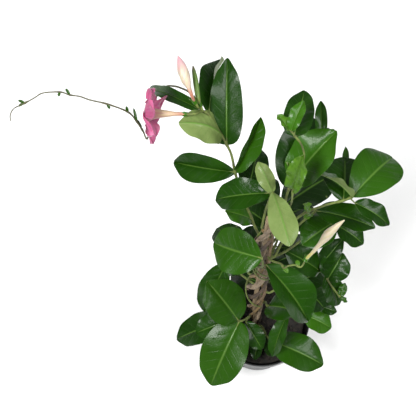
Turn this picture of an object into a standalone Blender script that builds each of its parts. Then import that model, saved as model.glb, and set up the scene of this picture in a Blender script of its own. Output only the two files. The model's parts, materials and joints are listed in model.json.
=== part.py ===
"""A mandevilla that twines up a cane in its nursery pot.

Units are metres and +Z is up. The origin is the middle of the pot's underside.
+X is the picture's right and +Y leads away from the viewer.

Leaves, stems and flowers are placed as (u, v, height): the pixel where the picture shows the
point, in its 416 x 416 frame, and the point's height above the pot's underside. The function
seen() turns the three into a place in metres, from the viewpoint given below.
"""

import math
from collections import namedtuple

import bmesh
import bpy
from mathutils import Matrix, Vector

# The pot: a standard 13 cm nursery pot
RIM_RADIUS = 0.065
POT_HEIGHT = 0.115
BASE_RADIUS = 0.0468
POT_WALL = 0.0014
FLOOR_THICKNESS = 0.0030
LIP_HEIGHT = 0.013
LIP_STEP = 0.0034
POT_EDGE = 0.0008
DRAIN_HOLES = 6
DRAIN_HOLE_RADIUS = 0.004
DRAIN_CIRCLE_RADIUS = 0.028
POT_SEGMENTS = 36
HOLE_SIDES = 12

# The soil: filled to a little under the rim
SOIL_TOP = 0.1035
SOIL_CROWN = 0.0030
SOIL_CROWN_RADIUS = 0.032
SOIL_CROWN_DROP = 0.0008
SOIL_EDGE_CHAMFER = 0.0020
STEM_DEPTH = 0.045
HOLE_CLEARANCE = 0.0006
CUT_MARGIN = 0.002

# Clearance between pieces that touch, and between the ends of two that follow each other
GAP = 0.0003
END_GAP = 0.0004

# The viewpoint of the picture
EYE = Vector((-0.071, -0.328, 1.381))
VIEW_ELEVATION = math.radians(69.0)
FOCAL_PIXELS = 970.0
PICTURE_MIDDLE = 208.0

# The bundle of twisted woody stems round the cane
CANE_RADIUS = 0.0028
CANE_TOP = 0.500
CANE_STEPS = 9
CANE_SIDES = 8
WOODY_SIDES = 6
BUNDLE_FOOT = Vector((-0.008, -0.003, 0.0))
BUNDLE_TOP = Vector((-0.012, 0.000, 0.0))
BUNDLE_SETTLED = 0.20
TWIST_PITCH = 0.17
TWIST_STEP = 0.018
FOOT_SPREAD = 0.0062
USUAL_SPREAD = 0.0074
WIDEST_SPREAD = 0.0100
WIDEST_HEIGHT = 0.26
WIDEST_REACH = 0.07
KNOT_EVERY = 3
KNOT_SWELL = 1.22

WoodyStem = namedtuple("WoodyStem", "name radius top phase colour")
WOODY_STEMS = (
    WoodyStem("stem_papery", 0.0027, 0.492, 200.0, (0.40, 0.30, 0.19)),
    WoodyStem("stem_brown", 0.0022, 0.452, 290.0, (0.13, 0.08, 0.045)),
    WoodyStem("stem_tan", 0.0020, 0.458, 20.0, (0.30, 0.20, 0.10)),
    WoodyStem("stem_ochre", 0.0018, 0.446, 110.0, (0.32, 0.21, 0.07)),
)

# Leaves
BLADE_THICKNESS = 0.0008
STALK_WIDTH = 0.0020
SHORTEST_STALK = 0.0020
BROAD_LEAF = 0.029
STATIONS_ALONG = (0.0, 0.12, 0.34, 0.60, 0.85, 1.0)
BROAD_STATIONS = (-1.0, -0.5, 0.0, 0.5, 1.0)
NARROW_STATIONS = (-1.0, 0.0, 1.0)
LEAF_ROUNDNESS = 0.60
POINT_FROM = 0.78
POINT_NARROWING = 0.30
STALK_BLENDS_BY = 0.2
WAVES_ALONG = 2.3

# Faces that lie within this many degrees of one plane are made one after a union
FLAT_WITHIN = 0.4

# Corners closer than this are made one after a union; the next is tried where that opens it
WELD_DISTANCES = (0.00006, 0.00004, 0.00002, 0.00001, 0.000001)

# A loose body with no more corners than this is a scrap
LARGEST_SCRAP = 12

# Green stems
STEM_RADIUS = 0.0015
STEM_SIDES = 5
STEM_TAPER = 0.75
POINTS_PER_SPAN = 2
ROOT_REACH = 0.004

# A leaf: where its foot and its tip are seen, its real width, how far its midrib bows up as a
# share of its length, the fold of its halves, and its roll about the midrib, in degrees
Leaf = namedtuple("Leaf", "foot tip width bow fold roll wave belly",
                  defaults=(0.08, 16.0, 0.0, 0.0014, 0.5))

# A shoot: the height where it leaves the bundle, the places its stem passes, and its leaves,
# which are plainer on an inner shoot that the outer ones hide
Shoot = namedtuple("Shoot", "name root path leaves colour radius inner",
                   defaults=(STEM_RADIUS, False))

GREEN = (0.035, 0.115, 0.012)
DARK_GREEN = (0.018, 0.062, 0.010)
YOUNG_GREEN = (0.10, 0.26, 0.035)

SHOOTS = (
    Shoot(
        name="left_flowering_shoot",
        root=0.385,
        path=(
            (257, 231, 0.415), (246, 205, 0.445), (236, 176, 0.480), (232, 157, 0.505),
            (228, 147, 0.518), (219, 131, 0.532), (209, 115, 0.546), (201, 110, 0.552),
        ),
        leaves=(
            Leaf(foot=(226, 146, 0.536), tip=(180.5, 122.5, 0.554), width=0.029, fold=6, roll=186),
            Leaf(foot=(228, 144, 0.522), tip=(227.5, 58, 0.560), width=0.034, fold=16, roll=-6, belly=0.38),
            Leaf(foot=(208, 112, 0.546), tip=(223, 60.5, 0.512), width=0.030, fold=58, roll=-46),
            Leaf(foot=(199, 109, 0.549), tip=(145.5, 87.5, 0.482), width=0.0145, bow=0.10, fold=24, roll=-20),
            Leaf(foot=(238, 172, 0.488), tip=(260.5, 117, 0.510), width=0.030, fold=52, roll=30),
            Leaf(foot=(235, 176, 0.486), tip=(174.5, 169.5, 0.474), width=0.037, fold=36, roll=-40, belly=0.58),
            Leaf(foot=(247, 193, 0.455), tip=(258, 148, 0.452), width=0.032, fold=12, roll=8),
            Leaf(foot=(249, 213, 0.430), tip=(230, 208, 0.412), width=0.026, fold=14),
            Leaf(foot=(257, 226, 0.438), tip=(225, 211, 0.455), width=0.024, fold=10, roll=-6),
        ),
        colour=GREEN,
    ),
    Shoot(
        name="upper_left_shoot",
        root=0.438,
        path=((262, 227, 0.450), (265, 213, 0.472), (269, 201, 0.500), (272.5, 192, 0.520)),
        leaves=(
            Leaf(foot=(270, 193, 0.512), tip=(216, 199.5, 0.478), width=0.034, fold=18, roll=-8),
            Leaf(foot=(272, 193, 0.528), tip=(290, 246, 0.528), width=0.027, fold=6, roll=180, belly=0.62),
            Leaf(foot=(272, 189, 0.526), tip=(258, 162, 0.534), width=0.017, fold=14, roll=175),
        ),
        colour=GREEN,
    ),
    Shoot(
        name="middle_pair",
        root=0.378,
        path=((263, 266, 0.394), (262, 261, 0.416), (261.5, 258, 0.429)),
        leaves=(
            Leaf(foot=(260, 257.5, 0.430), tip=(214, 243, 0.402), width=0.050, fold=10, roll=-32),
            Leaf(foot=(266, 265, 0.396), tip=(308, 321, 0.352), width=0.050, fold=28, roll=-12, belly=0.56),
        ),
        colour=GREEN,
    ),
    Shoot(
        name="top_twining_shoot",
        root=0.450,
        path=(
            (282, 214, 0.476), (291, 204, 0.512), (293, 190, 0.536), (297, 171, 0.560),
            (304, 158, 0.576), (302, 146, 0.588), (296, 137, 0.597), (291, 131, 0.602),
        ),
        leaves=(
            Leaf(foot=(290, 130, 0.602), tip=(304, 101, 0.612), width=0.014, fold=20, roll=-10),
            Leaf(foot=(289, 130, 0.602), tip=(277, 115, 0.606), width=0.011, fold=20, roll=20),
            Leaf(foot=(294, 136, 0.588), tip=(304.5, 91, 0.582), width=0.029, fold=12, roll=0, belly=0.44),
            Leaf(foot=(297, 198, 0.540), tip=(303, 155, 0.582), width=0.024, fold=16, roll=-8,
                 wave=0.0022),
            Leaf(foot=(291, 195, 0.532), tip=(286, 162, 0.562), width=0.011, fold=30, roll=60),
        ),
        colour=YOUNG_GREEN,
        radius=0.0011,
    ),
    Shoot(
        name="top_glossy_shoot",
        root=0.425,
        path=((275, 224, 0.440), (284, 206, 0.476), (288, 191, 0.499), (297, 176, 0.513),
              (312, 158, 0.522), (322, 141, 0.532)),
        leaves=(
            Leaf(foot=(285, 187, 0.508), tip=(313, 116, 0.530), width=0.044, fold=14, roll=4),
            Leaf(foot=(293, 189, 0.514), tip=(337, 131, 0.556), width=0.045, fold=14, roll=-6, belly=0.52,
                 wave=0.0020),
            Leaf(foot=(322, 139, 0.536), tip=(321, 101, 0.542), width=0.013, fold=20, roll=-10),
            Leaf(foot=(324, 139, 0.532), tip=(334, 130, 0.525), width=0.011, fold=10, roll=10),
        ),
        colour=GREEN,
    ),
    Shoot(
        name="right_shoot",
        root=0.408,
        path=(
            (283, 230, 0.427), (303, 214, 0.453), (320, 207, 0.466), (333, 203, 0.474),
            (345, 200, 0.480), (352, 197, 0.485),
        ),
        leaves=(
            Leaf(foot=(353, 195, 0.487), tip=(392, 158, 0.462), width=0.050, fold=10, bow=0.13, belly=0.56),
            Leaf(foot=(344, 201, 0.478), tip=(351, 158, 0.466), width=0.040, fold=14),
            Leaf(foot=(357, 202, 0.492), tip=(318, 174, 0.512), width=0.026, fold=20, roll=62),
            Leaf(foot=(355, 203, 0.478), tip=(389, 225, 0.462), width=0.024, fold=14, roll=-10),
            Leaf(foot=(341, 199, 0.468), tip=(345.5, 147, 0.450), width=0.009, fold=10, roll=10),
            Leaf(foot=(308, 213, 0.462), tip=(303, 204, 0.480), width=0.013, fold=25, roll=10),
        ),
        colour=GREEN,
    ),
    Shoot(
        name="right_inner_shoot",
        root=0.386,
        path=((284, 240, 0.398), (301, 223, 0.418), (316, 211, 0.436)),
        leaves=(
            Leaf(foot=(318, 209, 0.440), tip=(375, 228, 0.432), width=0.032, fold=12, roll=-12),
            Leaf(foot=(310, 214, 0.436), tip=(304, 219, 0.446), width=0.011, fold=20, roll=10),
        ),
        colour=GREEN,
    ),
    Shoot(
        name="right_low_shoot",
        root=0.360,
        path=((288, 250, 0.370), (312, 233, 0.384), (334, 223, 0.392)),
        leaves=(
            Leaf(foot=(333, 223, 0.396), tip=(302, 245, 0.398), width=0.038, fold=10, roll=4),
            Leaf(foot=(336, 225, 0.392), tip=(363, 244, 0.380), width=0.030, fold=12, roll=-8),
        ),
        colour=GREEN,
    ),
    Shoot(
        name="cream_bud_stalk",
        root=0.405,
        path=(
            (275, 262, 0.413), (281, 264, 0.418), (284, 268, 0.421), (288, 266, 0.424),
            (295, 265, 0.426), (301, 267, 0.428), (305, 261, 0.431),
        ),
        leaves=(
            Leaf(foot=(285, 267, 0.418), tip=(288, 273, 0.418), width=0.005, wave=0.0),
            Leaf(foot=(299, 266, 0.425), tip=(297, 260, 0.427), width=0.005, wave=0.0),
        ),
        colour=(0.34, 0.36, 0.12),
        radius=0.0012,
    ),
    Shoot(
        name="right_back_shoot",
        root=0.325,
        path=((284, 267, 0.322), (305, 268, 0.318), (322, 272, 0.316), (330, 284, 0.312),
              (340, 297, 0.306)),
        leaves=(
            Leaf(foot=(322, 267, 0.330), tip=(284, 250, 0.350), width=0.033, fold=12, roll=-6),
            Leaf(foot=(322, 284, 0.322), tip=(343, 253, 0.330), width=0.036, fold=12, roll=6),
            Leaf(foot=(324, 248, 0.345), tip=(344, 238, 0.345), width=0.022, fold=12),
            Leaf(foot=(318, 280, 0.308), tip=(338, 305, 0.286), width=0.028, fold=12, roll=-6),
            Leaf(foot=(341, 297, 0.308), tip=(345, 283, 0.312), width=0.010, fold=6),
            Leaf(foot=(338, 297, 0.304), tip=(347, 302, 0.302), width=0.006, fold=6),
        ),
        colour=GREEN,
    ),
    Shoot(
        name="front_right_shoot",
        root=0.185,
        path=((268, 306, 0.196), (284, 312, 0.204), (301, 313, 0.216), (318, 306, 0.228)),
        leaves=(
            Leaf(foot=(258, 301, 0.214), tip=(304, 318, 0.232), width=0.043, fold=12, roll=-6),
            Leaf(foot=(287, 315, 0.196), tip=(273, 356, 0.158), width=0.023, fold=20, roll=20),
            Leaf(foot=(304, 315, 0.216), tip=(331, 328, 0.206), width=0.032, fold=10, roll=-6),
            Leaf(foot=(318, 307, 0.230), tip=(336.5, 312, 0.224), width=0.016, fold=10),
        ),
        colour=GREEN,
    ),
    Shoot(
        name="bottom_right_shoot",
        root=0.130,
        path=((261, 326, 0.138), (266, 335, 0.146), (271, 341, 0.150)),
        leaves=(
            Leaf(foot=(272, 342, 0.152), tip=(323, 365, 0.138), width=0.048, fold=8, roll=-6),
            Leaf(foot=(259, 332, 0.136), tip=(255, 360, 0.126), width=0.018, fold=14, roll=10),
            Leaf(foot=(264, 336, 0.138), tip=(272, 357, 0.128), width=0.016, fold=14, roll=-10),
        ),
        colour=GREEN,
    ),
    Shoot(
        name="front_left_shoot",
        root=0.160,
        path=((249, 317, 0.170), (241, 321, 0.180), (231, 320, 0.174)),
        leaves=(
            Leaf(foot=(238, 320, 0.185), tip=(207, 281, 0.228), width=0.054, fold=10, roll=-4),
            Leaf(foot=(229.5, 320.5, 0.167), tip=(196, 333, 0.158), width=0.034, fold=12, roll=-6),
            Leaf(foot=(229, 317, 0.161), tip=(177, 339, 0.131), width=0.042, fold=10, roll=4),
            Leaf(foot=(240.5, 326, 0.183), tip=(211, 385, 0.132), width=0.060, fold=10, roll=4, belly=0.46),
            Leaf(foot=(246, 322, 0.167), tip=(262, 349, 0.150), width=0.026, fold=10, roll=10),
        ),
        colour=GREEN,
    ),
    Shoot(
        name="left_back_shoot",
        root=0.218,
        path=((248, 280, 0.222), (236, 270, 0.226), (227, 263, 0.228)),
        leaves=(
            Leaf(foot=(226, 264, 0.226), tip=(205, 312, 0.166), width=0.044, fold=10, roll=4),
            Leaf(foot=(237, 268, 0.226), tip=(228, 240, 0.212), width=0.034, fold=10),
        ),
        colour=GREEN,
    ),
    Shoot(
        name="back_high_shoot",
        root=0.340,
        path=((268, 243, 0.350), (271, 226, 0.358), (274, 208, 0.366)),
        leaves=(
            Leaf(foot=(270, 226, 0.352), tip=(238, 205, 0.322), width=0.038),
            Leaf(foot=(273, 222, 0.356), tip=(306, 208, 0.334), width=0.038),
            Leaf(foot=(272, 207, 0.366), tip=(258, 178, 0.342), width=0.036),
            Leaf(foot=(284, 206, 0.366), tip=(321, 173, 0.350), width=0.042),
        ),
        colour=DARK_GREEN,
        inner=True,
    ),
    Shoot(
        name="back_middle_shoot",
        root=0.270,
        path=((269, 262, 0.280), (275, 246, 0.288), (283, 228, 0.292)),
        leaves=(
            Leaf(foot=(272, 250, 0.284), tip=(238, 236, 0.256), width=0.040),
            Leaf(foot=(278, 247, 0.286), tip=(318, 256, 0.262), width=0.040),
            Leaf(foot=(281, 228, 0.294), tip=(262, 203, 0.272), width=0.036),
            Leaf(foot=(286, 228, 0.292), tip=(318, 212, 0.270), width=0.040),
        ),
        colour=DARK_GREEN,
        inner=True,
    ),
    Shoot(
        name="back_low_shoot",
        root=0.170,
        path=((262, 292, 0.184), (266, 278, 0.196), (272, 264, 0.204)),
        leaves=(
            Leaf(foot=(262, 284, 0.186), tip=(232, 274, 0.162), width=0.040),
            Leaf(foot=(269, 282, 0.190), tip=(304, 282, 0.166), width=0.042),
            Leaf(foot=(270, 264, 0.206), tip=(250, 244, 0.186), width=0.038),
            Leaf(foot=(275, 264, 0.206), tip=(305, 252, 0.186), width=0.040),
        ),
        colour=DARK_GREEN,
        inner=True,
    ),
    Shoot(
        name="right_side_shoot",
        root=0.255,
        path=((284, 286, 0.262), (300, 284, 0.268)),
        leaves=(
            Leaf(foot=(296, 284, 0.266), tip=(330, 268, 0.246), width=0.040),
            Leaf(foot=(302, 286, 0.264), tip=(324, 308, 0.244), width=0.036),
        ),
        colour=DARK_GREEN,
        inner=True,
    ),
    Shoot(
        name="left_side_shoot",
        root=0.288,
        path=((250, 266, 0.298), (242, 254, 0.306)),
        leaves=(
            Leaf(foot=(240, 252, 0.308), tip=(218, 228, 0.286), width=0.038),
            Leaf(foot=(246, 256, 0.302), tip=(226, 268, 0.282), width=0.034),
        ),
        colour=DARK_GREEN,
        inner=True,
    ),
)

# The stalks at the end of the left flowering shoot, each thickened to a calyx at its end
STALK_RADIUS = 0.0010
CALYX_RADIUS = 0.0018
STALK_SIDES = 6
FLOWER_STALK = ((202, 111, 0.552), (196, 113.6, 0.5632), (187, 114, 0.560))
PINK_BUD_STALK = ((201, 110, 0.552), (198, 107, 0.560), (195.5, 103, 0.563))
GREEN_BUD_STALK = ((203, 111, 0.552), (202, 109, 0.5535), (200.5, 106, 0.555))

# The flower: a trumpet with five lobes, seen from its side
FLOWER_FACE = (154.5, 113.5, 0.549)
TUBE_RADIUS = 0.0016
THROAT_RADIUS = 0.0088
TRUMPET_SHAPE = ((0.0, 1.0), (0.30, 1.25), (0.50, 2.1), (0.75, 2.9), (0.92, 4.2), (1.0, 5.5))
HOLLOW_FROM = 0.50
PETAL_WALL = 0.0008
TRUMPET_SEGMENTS = 15
LOBES = 5
LOBE_REACH = 0.0255
LOBE_WIDTH = 0.0270
LOBE_BACK = 0.0060
LOBE_TWIST = 16.0
LOBE_RIPPLE = 0.0010
LOBE_STATIONS = (0.0, 0.3, 0.62, 0.88, 1.0)

# Buds: the places that each passes after the end of its stalk, and its radii, the first two
# at that end and at BUD_REACH past it
BUD_REACH = 0.0015
PINK_BUD = ((192, 96, 0.573), (189, 88, 0.578), (186, 80, 0.582),
            (183, 71, 0.585), (180.5, 63, 0.587), (178, 56, 0.588))
PINK_BUD_RADII = (0.0011, 0.0014, 0.0016, 0.0022, 0.0045, 0.0050, 0.0034, 0.0006)
GREEN_BUD = ((198, 98, 0.562), (196, 84, 0.566), (194, 72, 0.569),
             (193, 66, 0.570))
GREEN_BUD_RADII = (0.0010, 0.0012, 0.0022, 0.0026, 0.0020, 0.0006)
CREAM_BUD = ((308, 257, 0.436), (313, 252, 0.443), (321, 243, 0.454),
             (328, 234.5, 0.463), (337, 226, 0.472), (344.5, 220, 0.478))
CREAM_BUD_RADII = (0.0011, 0.0014, 0.0017, 0.0021, 0.0036, 0.0046, 0.0032, 0.0006)
BUD_SIDES = 9

# The long shoot that reaches out to the left
LONG_SHOOT = (
    (198.5, 112.5, 0.543), (196, 108, 0.530), (193, 97.5, 0.523), (189, 92, 0.521),
    (182, 88.5, 0.520), (175, 86.3, 0.517), (166, 86.5, 0.512), (158, 93, 0.503),
    (153.5, 110, 0.494), (150, 127, 0.495), (147, 139, 0.500), (143, 131, 0.508),
    (137, 122, 0.516), (128, 112, 0.520), (107, 104, 0.526), (90, 100, 0.528),
    (80, 96.5, 0.529), (70, 95, 0.530), (60, 92, 0.530), (43, 93, 0.530),
    (35, 97.5, 0.529), (25, 103, 0.527), (14, 108.5, 0.524), (10.3, 115, 0.521),
    (10.8, 121, 0.519),
)
LONG_SHOOT_FOOT_RADIUS = 0.0011
LONG_SHOOT_TIP_RADIUS = 0.0005
BRACT_THICKNESS = 0.0006
BRACT_STATIONS = (0.0, 0.3, 0.7, 1.0)
BRACTS = (
    Leaf(foot=(137, 122, 0.516), tip=(133.5, 108, 0.522), width=0.003, wave=0.0),
    Leaf(foot=(142, 129.5, 0.511), tip=(136.5, 119, 0.514), width=0.003, wave=0.0),
    Leaf(foot=(128.5, 112.5, 0.520), tip=(126, 106, 0.524), width=0.003, wave=0.0),
    Leaf(foot=(107, 104, 0.526), tip=(110, 109, 0.524), width=0.003, wave=0.0),
    Leaf(foot=(70.5, 95, 0.530), tip=(65.5, 88.5, 0.532), width=0.003, wave=0.0),
    Leaf(foot=(60.5, 92.1, 0.530), tip=(58.5, 96.5, 0.528), width=0.003, wave=0.0),
    Leaf(foot=(25, 103, 0.527), tip=(18, 100.5, 0.529), width=0.003, wave=0.0),
    Leaf(foot=(25, 103, 0.527), tip=(18.5, 106.5, 0.524), width=0.003, wave=0.0),
)

POT_COLOUR = (0.016, 0.016, 0.018)
SOIL_COLOUR = (0.022, 0.014, 0.009)
CANE_COLOUR = (0.42, 0.30, 0.16)
FLOWER_COLOUR = (0.66, 0.12, 0.32)
PINK_BUD_COLOUR = (0.86, 0.56, 0.55)
CREAM_BUD_COLOUR = (0.86, 0.80, 0.50)
LONG_SHOOT_COLOUR = (0.13, 0.11, 0.06)


# Places and curves

def seen(u, v, height):
    """The place at this height that the picture shows at pixel (u, v)."""
    forward = Vector((0.0, math.cos(VIEW_ELEVATION), -math.sin(VIEW_ELEVATION)))
    upward = Vector((0.0, math.sin(VIEW_ELEVATION), math.cos(VIEW_ELEVATION)))
    across = Vector((1.0, 0.0, 0.0))
    ray = (forward + across * ((u - PICTURE_MIDDLE) / FOCAL_PIXELS)
           - upward * ((v - PICTURE_MIDDLE) / FOCAL_PIXELS))
    return EYE + ray * ((height - EYE.z) / ray.z)


def eased(share):
    """A share that starts and ends gently."""
    share = min(max(share, 0.0), 1.0)
    return share * share * (3.0 - 2.0 * share)


def smooth_path(points, per_span):
    """A curve through the points, with per_span steps from each to the next."""
    ends = [points[0] * 2 - points[1]] + list(points) + [points[-1] * 2 - points[-2]]
    curve = []
    for before, start, stop, after in zip(ends, ends[1:], ends[2:], ends[3:]):
        for step in range(per_span):
            t = step / per_span
            curve.append(0.5 * (
                start * 2
                + (stop - before) * t
                + (before * 2 - start * 5 + stop * 4 - after) * t ** 2
                + (start * 3 - before - stop * 3 + after) * t ** 3
            ))
    curve.append(points[-1].copy())
    return curve


def nearest(curve, place):
    """The point of the curve that lies nearest to the place."""
    return min(curve, key=lambda point: (point - place).length)


def spread_evenly(first, last, count):
    """Values from first to last."""
    return [first + (last - first) * index / (count - 1) for index in range(count)]


# Meshes

def tube(path, radii, sides):
    """A closed tube along the path, with flat ends."""
    mesh = bmesh.new()
    side = (path[1] - path[0]).orthogonal().normalized()
    rings = []
    for index, centre in enumerate(path):
        tangent = path[min(index + 1, len(path) - 1)] - path[max(index - 1, 0)]
        tangent.normalize()
        side = (side - tangent * side.dot(tangent)).normalized()
        other = tangent.cross(side)
        ring = []
        for corner in range(sides):
            angle = math.tau * corner / sides
            offset = side * math.cos(angle) + other * math.sin(angle)
            ring.append(mesh.verts.new(centre + offset * radii[index]))
        rings.append(ring)
    for lower, upper in zip(rings, rings[1:]):
        for corner in range(sides):
            after = (corner + 1) % sides
            mesh.faces.new((lower[corner], lower[after], upper[after], upper[corner]))
    mesh.faces.new(rings[0][::-1])
    mesh.faces.new(rings[-1])
    return mesh


def lathe(profile, segments):
    """A closed turned body; the profile is (radius, height) from the axis round to the axis."""
    mesh = bmesh.new()
    rings = []
    for radius, height in profile:
        if radius == 0.0:
            rings.append([mesh.verts.new((0.0, 0.0, height))] * segments)
            continue
        ring = []
        for segment in range(segments):
            angle = math.tau * segment / segments
            place = (radius * math.cos(angle), radius * math.sin(angle), height)
            ring.append(mesh.verts.new(place))
        rings.append(ring)
    for ring, following in zip(rings, rings[1:]):
        for segment in range(segments):
            after = (segment + 1) % segments
            corners = (ring[segment], ring[after], following[after], following[segment])
            mesh.faces.new(list(dict.fromkeys(corners)))
    bmesh.ops.recalc_face_normals(mesh, faces=mesh.faces)
    return mesh


def leaf_outline(share, belly=0.5):
    """The half width of a leaf that is broadest at belly, as a share of its half width."""
    spread = share ** (math.log(0.5) / math.log(belly))
    body = max(4.0 * spread * (1.0 - spread), 0.0) ** LEAF_ROUNDNESS
    point = 1.0 - POINT_NARROWING * eased((share - POINT_FROM) / (1.0 - POINT_FROM))
    return body * point


def lobe_outline(share):
    """The half width of a petal lobe: narrow at the throat, broad and blunt at its end."""
    return (0.42 + 0.95 * eased(share / 0.6)) * max(1.0 - share ** 5, 0.0) ** 0.6 / 1.25


def thick_sheet(surface, alongs, acrosses, thickness, half_stalk=0.0):
    """A closed sheet over surface(along, across), whose rows close to a point where they meet.

    Where along is 0 or less, the sheet is a stalk of the given half thickness.
    """
    step = 0.01
    mesh = bmesh.new()
    tops = []
    bottoms = []
    for along in alongs:
        top_row = []
        bottom_row = []
        half_thickness = half_stalk if half_stalk and along <= 0.0 else thickness / 2
        for across in acrosses:
            inner = min(max(along, alongs[0] + step), 1.0 - step)
            ahead = surface(inner + step, across) - surface(inner - step, across)
            sideways = surface(inner, across + step) - surface(inner, across - step)
            offset = ahead.cross(sideways).normalized() * half_thickness
            place = surface(along, across)
            if top_row and (place - surface(along, acrosses[0])).length < thickness / 20:
                top_row.append(top_row[0])
                bottom_row.append(bottom_row[0])
                continue
            top_row.append(mesh.verts.new(place + offset))
            bottom_row.append(mesh.verts.new(place - offset))
        tops.append(top_row)
        bottoms.append(bottom_row)
    for row in range(len(alongs) - 1):
        for column in range(len(acrosses) - 1):
            square = ((row, column), (row, column + 1), (row + 1, column + 1), (row + 1, column))
            halves = (square[:3], (square[0], square[2], square[3]))
            for half in halves:
                add_face(mesh, [bottoms[r][c] for r, c in half])
                add_face(mesh, [tops[r][c] for r, c in reversed(half)])
    last_row = len(alongs) - 1
    last_column = len(acrosses) - 1
    border = [(row, 0) for row in range(last_row)]
    border += [(last_row, column) for column in range(last_column)]
    border += [(row, last_column) for row in range(last_row, 0, -1)]
    border += [(0, column) for column in range(last_column, 0, -1)]
    for (r, c), (q, d) in zip(border, border[1:] + border[:1]):
        add_face(mesh, (tops[r][c], tops[q][d], bottoms[q][d]))
        add_face(mesh, (tops[r][c], bottoms[q][d], bottoms[r][c]))
    bmesh.ops.recalc_face_normals(mesh, faces=mesh.faces)
    if mesh.calc_volume(signed=True) < 0.0:
        bmesh.ops.reverse_faces(mesh, faces=mesh.faces)
    return mesh


def add_face(mesh, corners):
    """A face, unless two of its corners are one."""
    if len(set(corners)) == len(corners):
        mesh.faces.new(corners)


def leaf_surface(leaf, foot):
    """The middle surface of a leaf, as a function of the shares along and across it."""
    chord = seen(*leaf.tip) - foot
    ahead = chord.normalized()
    face = Vector((0.0, 0.0, 1.0)) - ahead * ahead.z
    face = Matrix.Rotation(math.radians(leaf.roll), 3, ahead) @ face.normalized()
    side = ahead.cross(face)
    lift = -1.0 if math.cos(math.radians(leaf.roll)) < 0.0 else 1.0
    fold = math.radians(leaf.fold)

    def surface(along, across):
        half = leaf.width / 2 * leaf_outline(along, leaf.belly) * across
        rise = lift * leaf.bow * chord.length * 4.0 * along * (1.0 - along)
        rise += abs(half) * math.sin(fold)
        rise += leaf.wave * across ** 2 * math.sin(math.tau * WAVES_ALONG * along + across)
        return foot + chord * along + side * half * math.cos(fold) + face * rise

    return surface


def leaf_mesh(leaf, stem_curve, plain=False):
    """A leaf that grows from the middle of the stem, on a short stalk where it stands off."""
    foot = seen(*leaf.foot)
    start = nearest(stem_curve, foot)
    stalk = foot - start
    ahead = (seen(*leaf.tip) - foot).normalized()
    stalked = stalk.dot(ahead) > stalk.length / 2 and stalk.length > SHORTEST_STALK
    if not stalked:
        foot = start
        stalk = ahead
    blade = leaf_surface(leaf, foot)
    half_width = min(STALK_WIDTH, leaf.width / 4) / 2
    blade_side = (blade(0.3, 0.5) - blade(0.3, -0.5)).normalized()
    stalk_side = stalk.cross(blade_side.cross(ahead)).normalized()
    if stalk_side.dot(blade_side) < 0.0:
        stalk_side.negate()

    def surface(along, across):
        if along < 0.0:
            return foot.lerp(start, -along) + stalk_side * half_width * across
        narrow = blade_side * half_width * across
        return blade(along, across) + narrow * max(1.0 - along / STALK_BLENDS_BY, 0.0)

    broad = leaf.width >= BROAD_LEAF and not plain
    acrosses = BROAD_STATIONS if broad else NARROW_STATIONS
    alongs = (-1.0,) * stalked + STATIONS_ALONG
    return thick_sheet(surface, alongs, acrosses, BLADE_THICKNESS, half_width)


# Objects

def material(name, colour, roughness=0.5, metallic=0.0):
    made = bpy.data.materials.new(name)
    made.use_nodes = True
    shader = made.node_tree.nodes["Principled BSDF"]
    shader.inputs["Base Color"].default_value = (*colour, 1.0)
    shader.inputs["Roughness"].default_value = roughness
    shader.inputs["Metallic"].default_value = metallic
    return made


def new_object(name, mesh, collection=None):
    """An object that holds the bmesh."""
    data = bpy.data.meshes.new(name)
    mesh.to_mesh(data)
    mesh.free()
    made = bpy.data.objects.new(name, data)
    (collection or bpy.context.scene.collection).objects.link(made)
    return made


def finish(piece, colour, roughness=0.5, sharp_angle=40.0):
    """Gives the piece its own material, smooth shading and the plant's empty as parent."""
    piece.data.materials.clear()
    piece.data.materials.append(material(piece.name, colour, roughness))
    piece.data.shade_smooth()
    piece.data.set_sharp_from_angle(angle=math.radians(sharp_angle))
    piece.parent = bpy.data.objects["mandevilla"]
    return piece


def tidied(data, weld, flat_within):
    """The mesh with near corners made one and near flat faces joined."""
    mesh = bmesh.new()
    mesh.from_mesh(data)
    bmesh.ops.remove_doubles(mesh, verts=mesh.verts, dist=weld)
    bmesh.ops.dissolve_degenerate(mesh, edges=mesh.edges, dist=weld)
    if flat_within:
        bmesh.ops.dissolve_limit(mesh, angle_limit=math.radians(flat_within), verts=mesh.verts,
                                 edges=mesh.edges)
    bmesh.ops.triangulate(mesh, faces=mesh.faces)
    return mesh


def flatten(data):
    """Joins the slivers and flat scraps that a union leaves, where the mesh stays closed."""
    for weld in WELD_DISTANCES:
        for flat_within in (FLAT_WITHIN, 0.0):
            mesh = tidied(data, weld, flat_within)
            closed = all(edge.is_manifold for edge in mesh.edges)
            if closed:
                mesh.to_mesh(data)
            mesh.free()
            if closed:
                return


def drop_scraps(data):
    """Removes the tiny loose bodies that a union can leave inside a seam."""
    mesh = bmesh.new()
    mesh.from_mesh(data)
    unvisited = set(mesh.verts)
    while unvisited:
        body = {unvisited.pop()}
        border = list(body)
        while border:
            vertex = border.pop()
            for edge in vertex.link_edges:
                other = edge.other_vert(vertex)
                if other in unvisited:
                    unvisited.discard(other)
                    body.add(other)
                    border.append(other)
        if len(body) <= LARGEST_SCRAP:
            bmesh.ops.delete(mesh, geom=list(body), context="VERTS")
    mesh.to_mesh(data)
    mesh.free()


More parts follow.
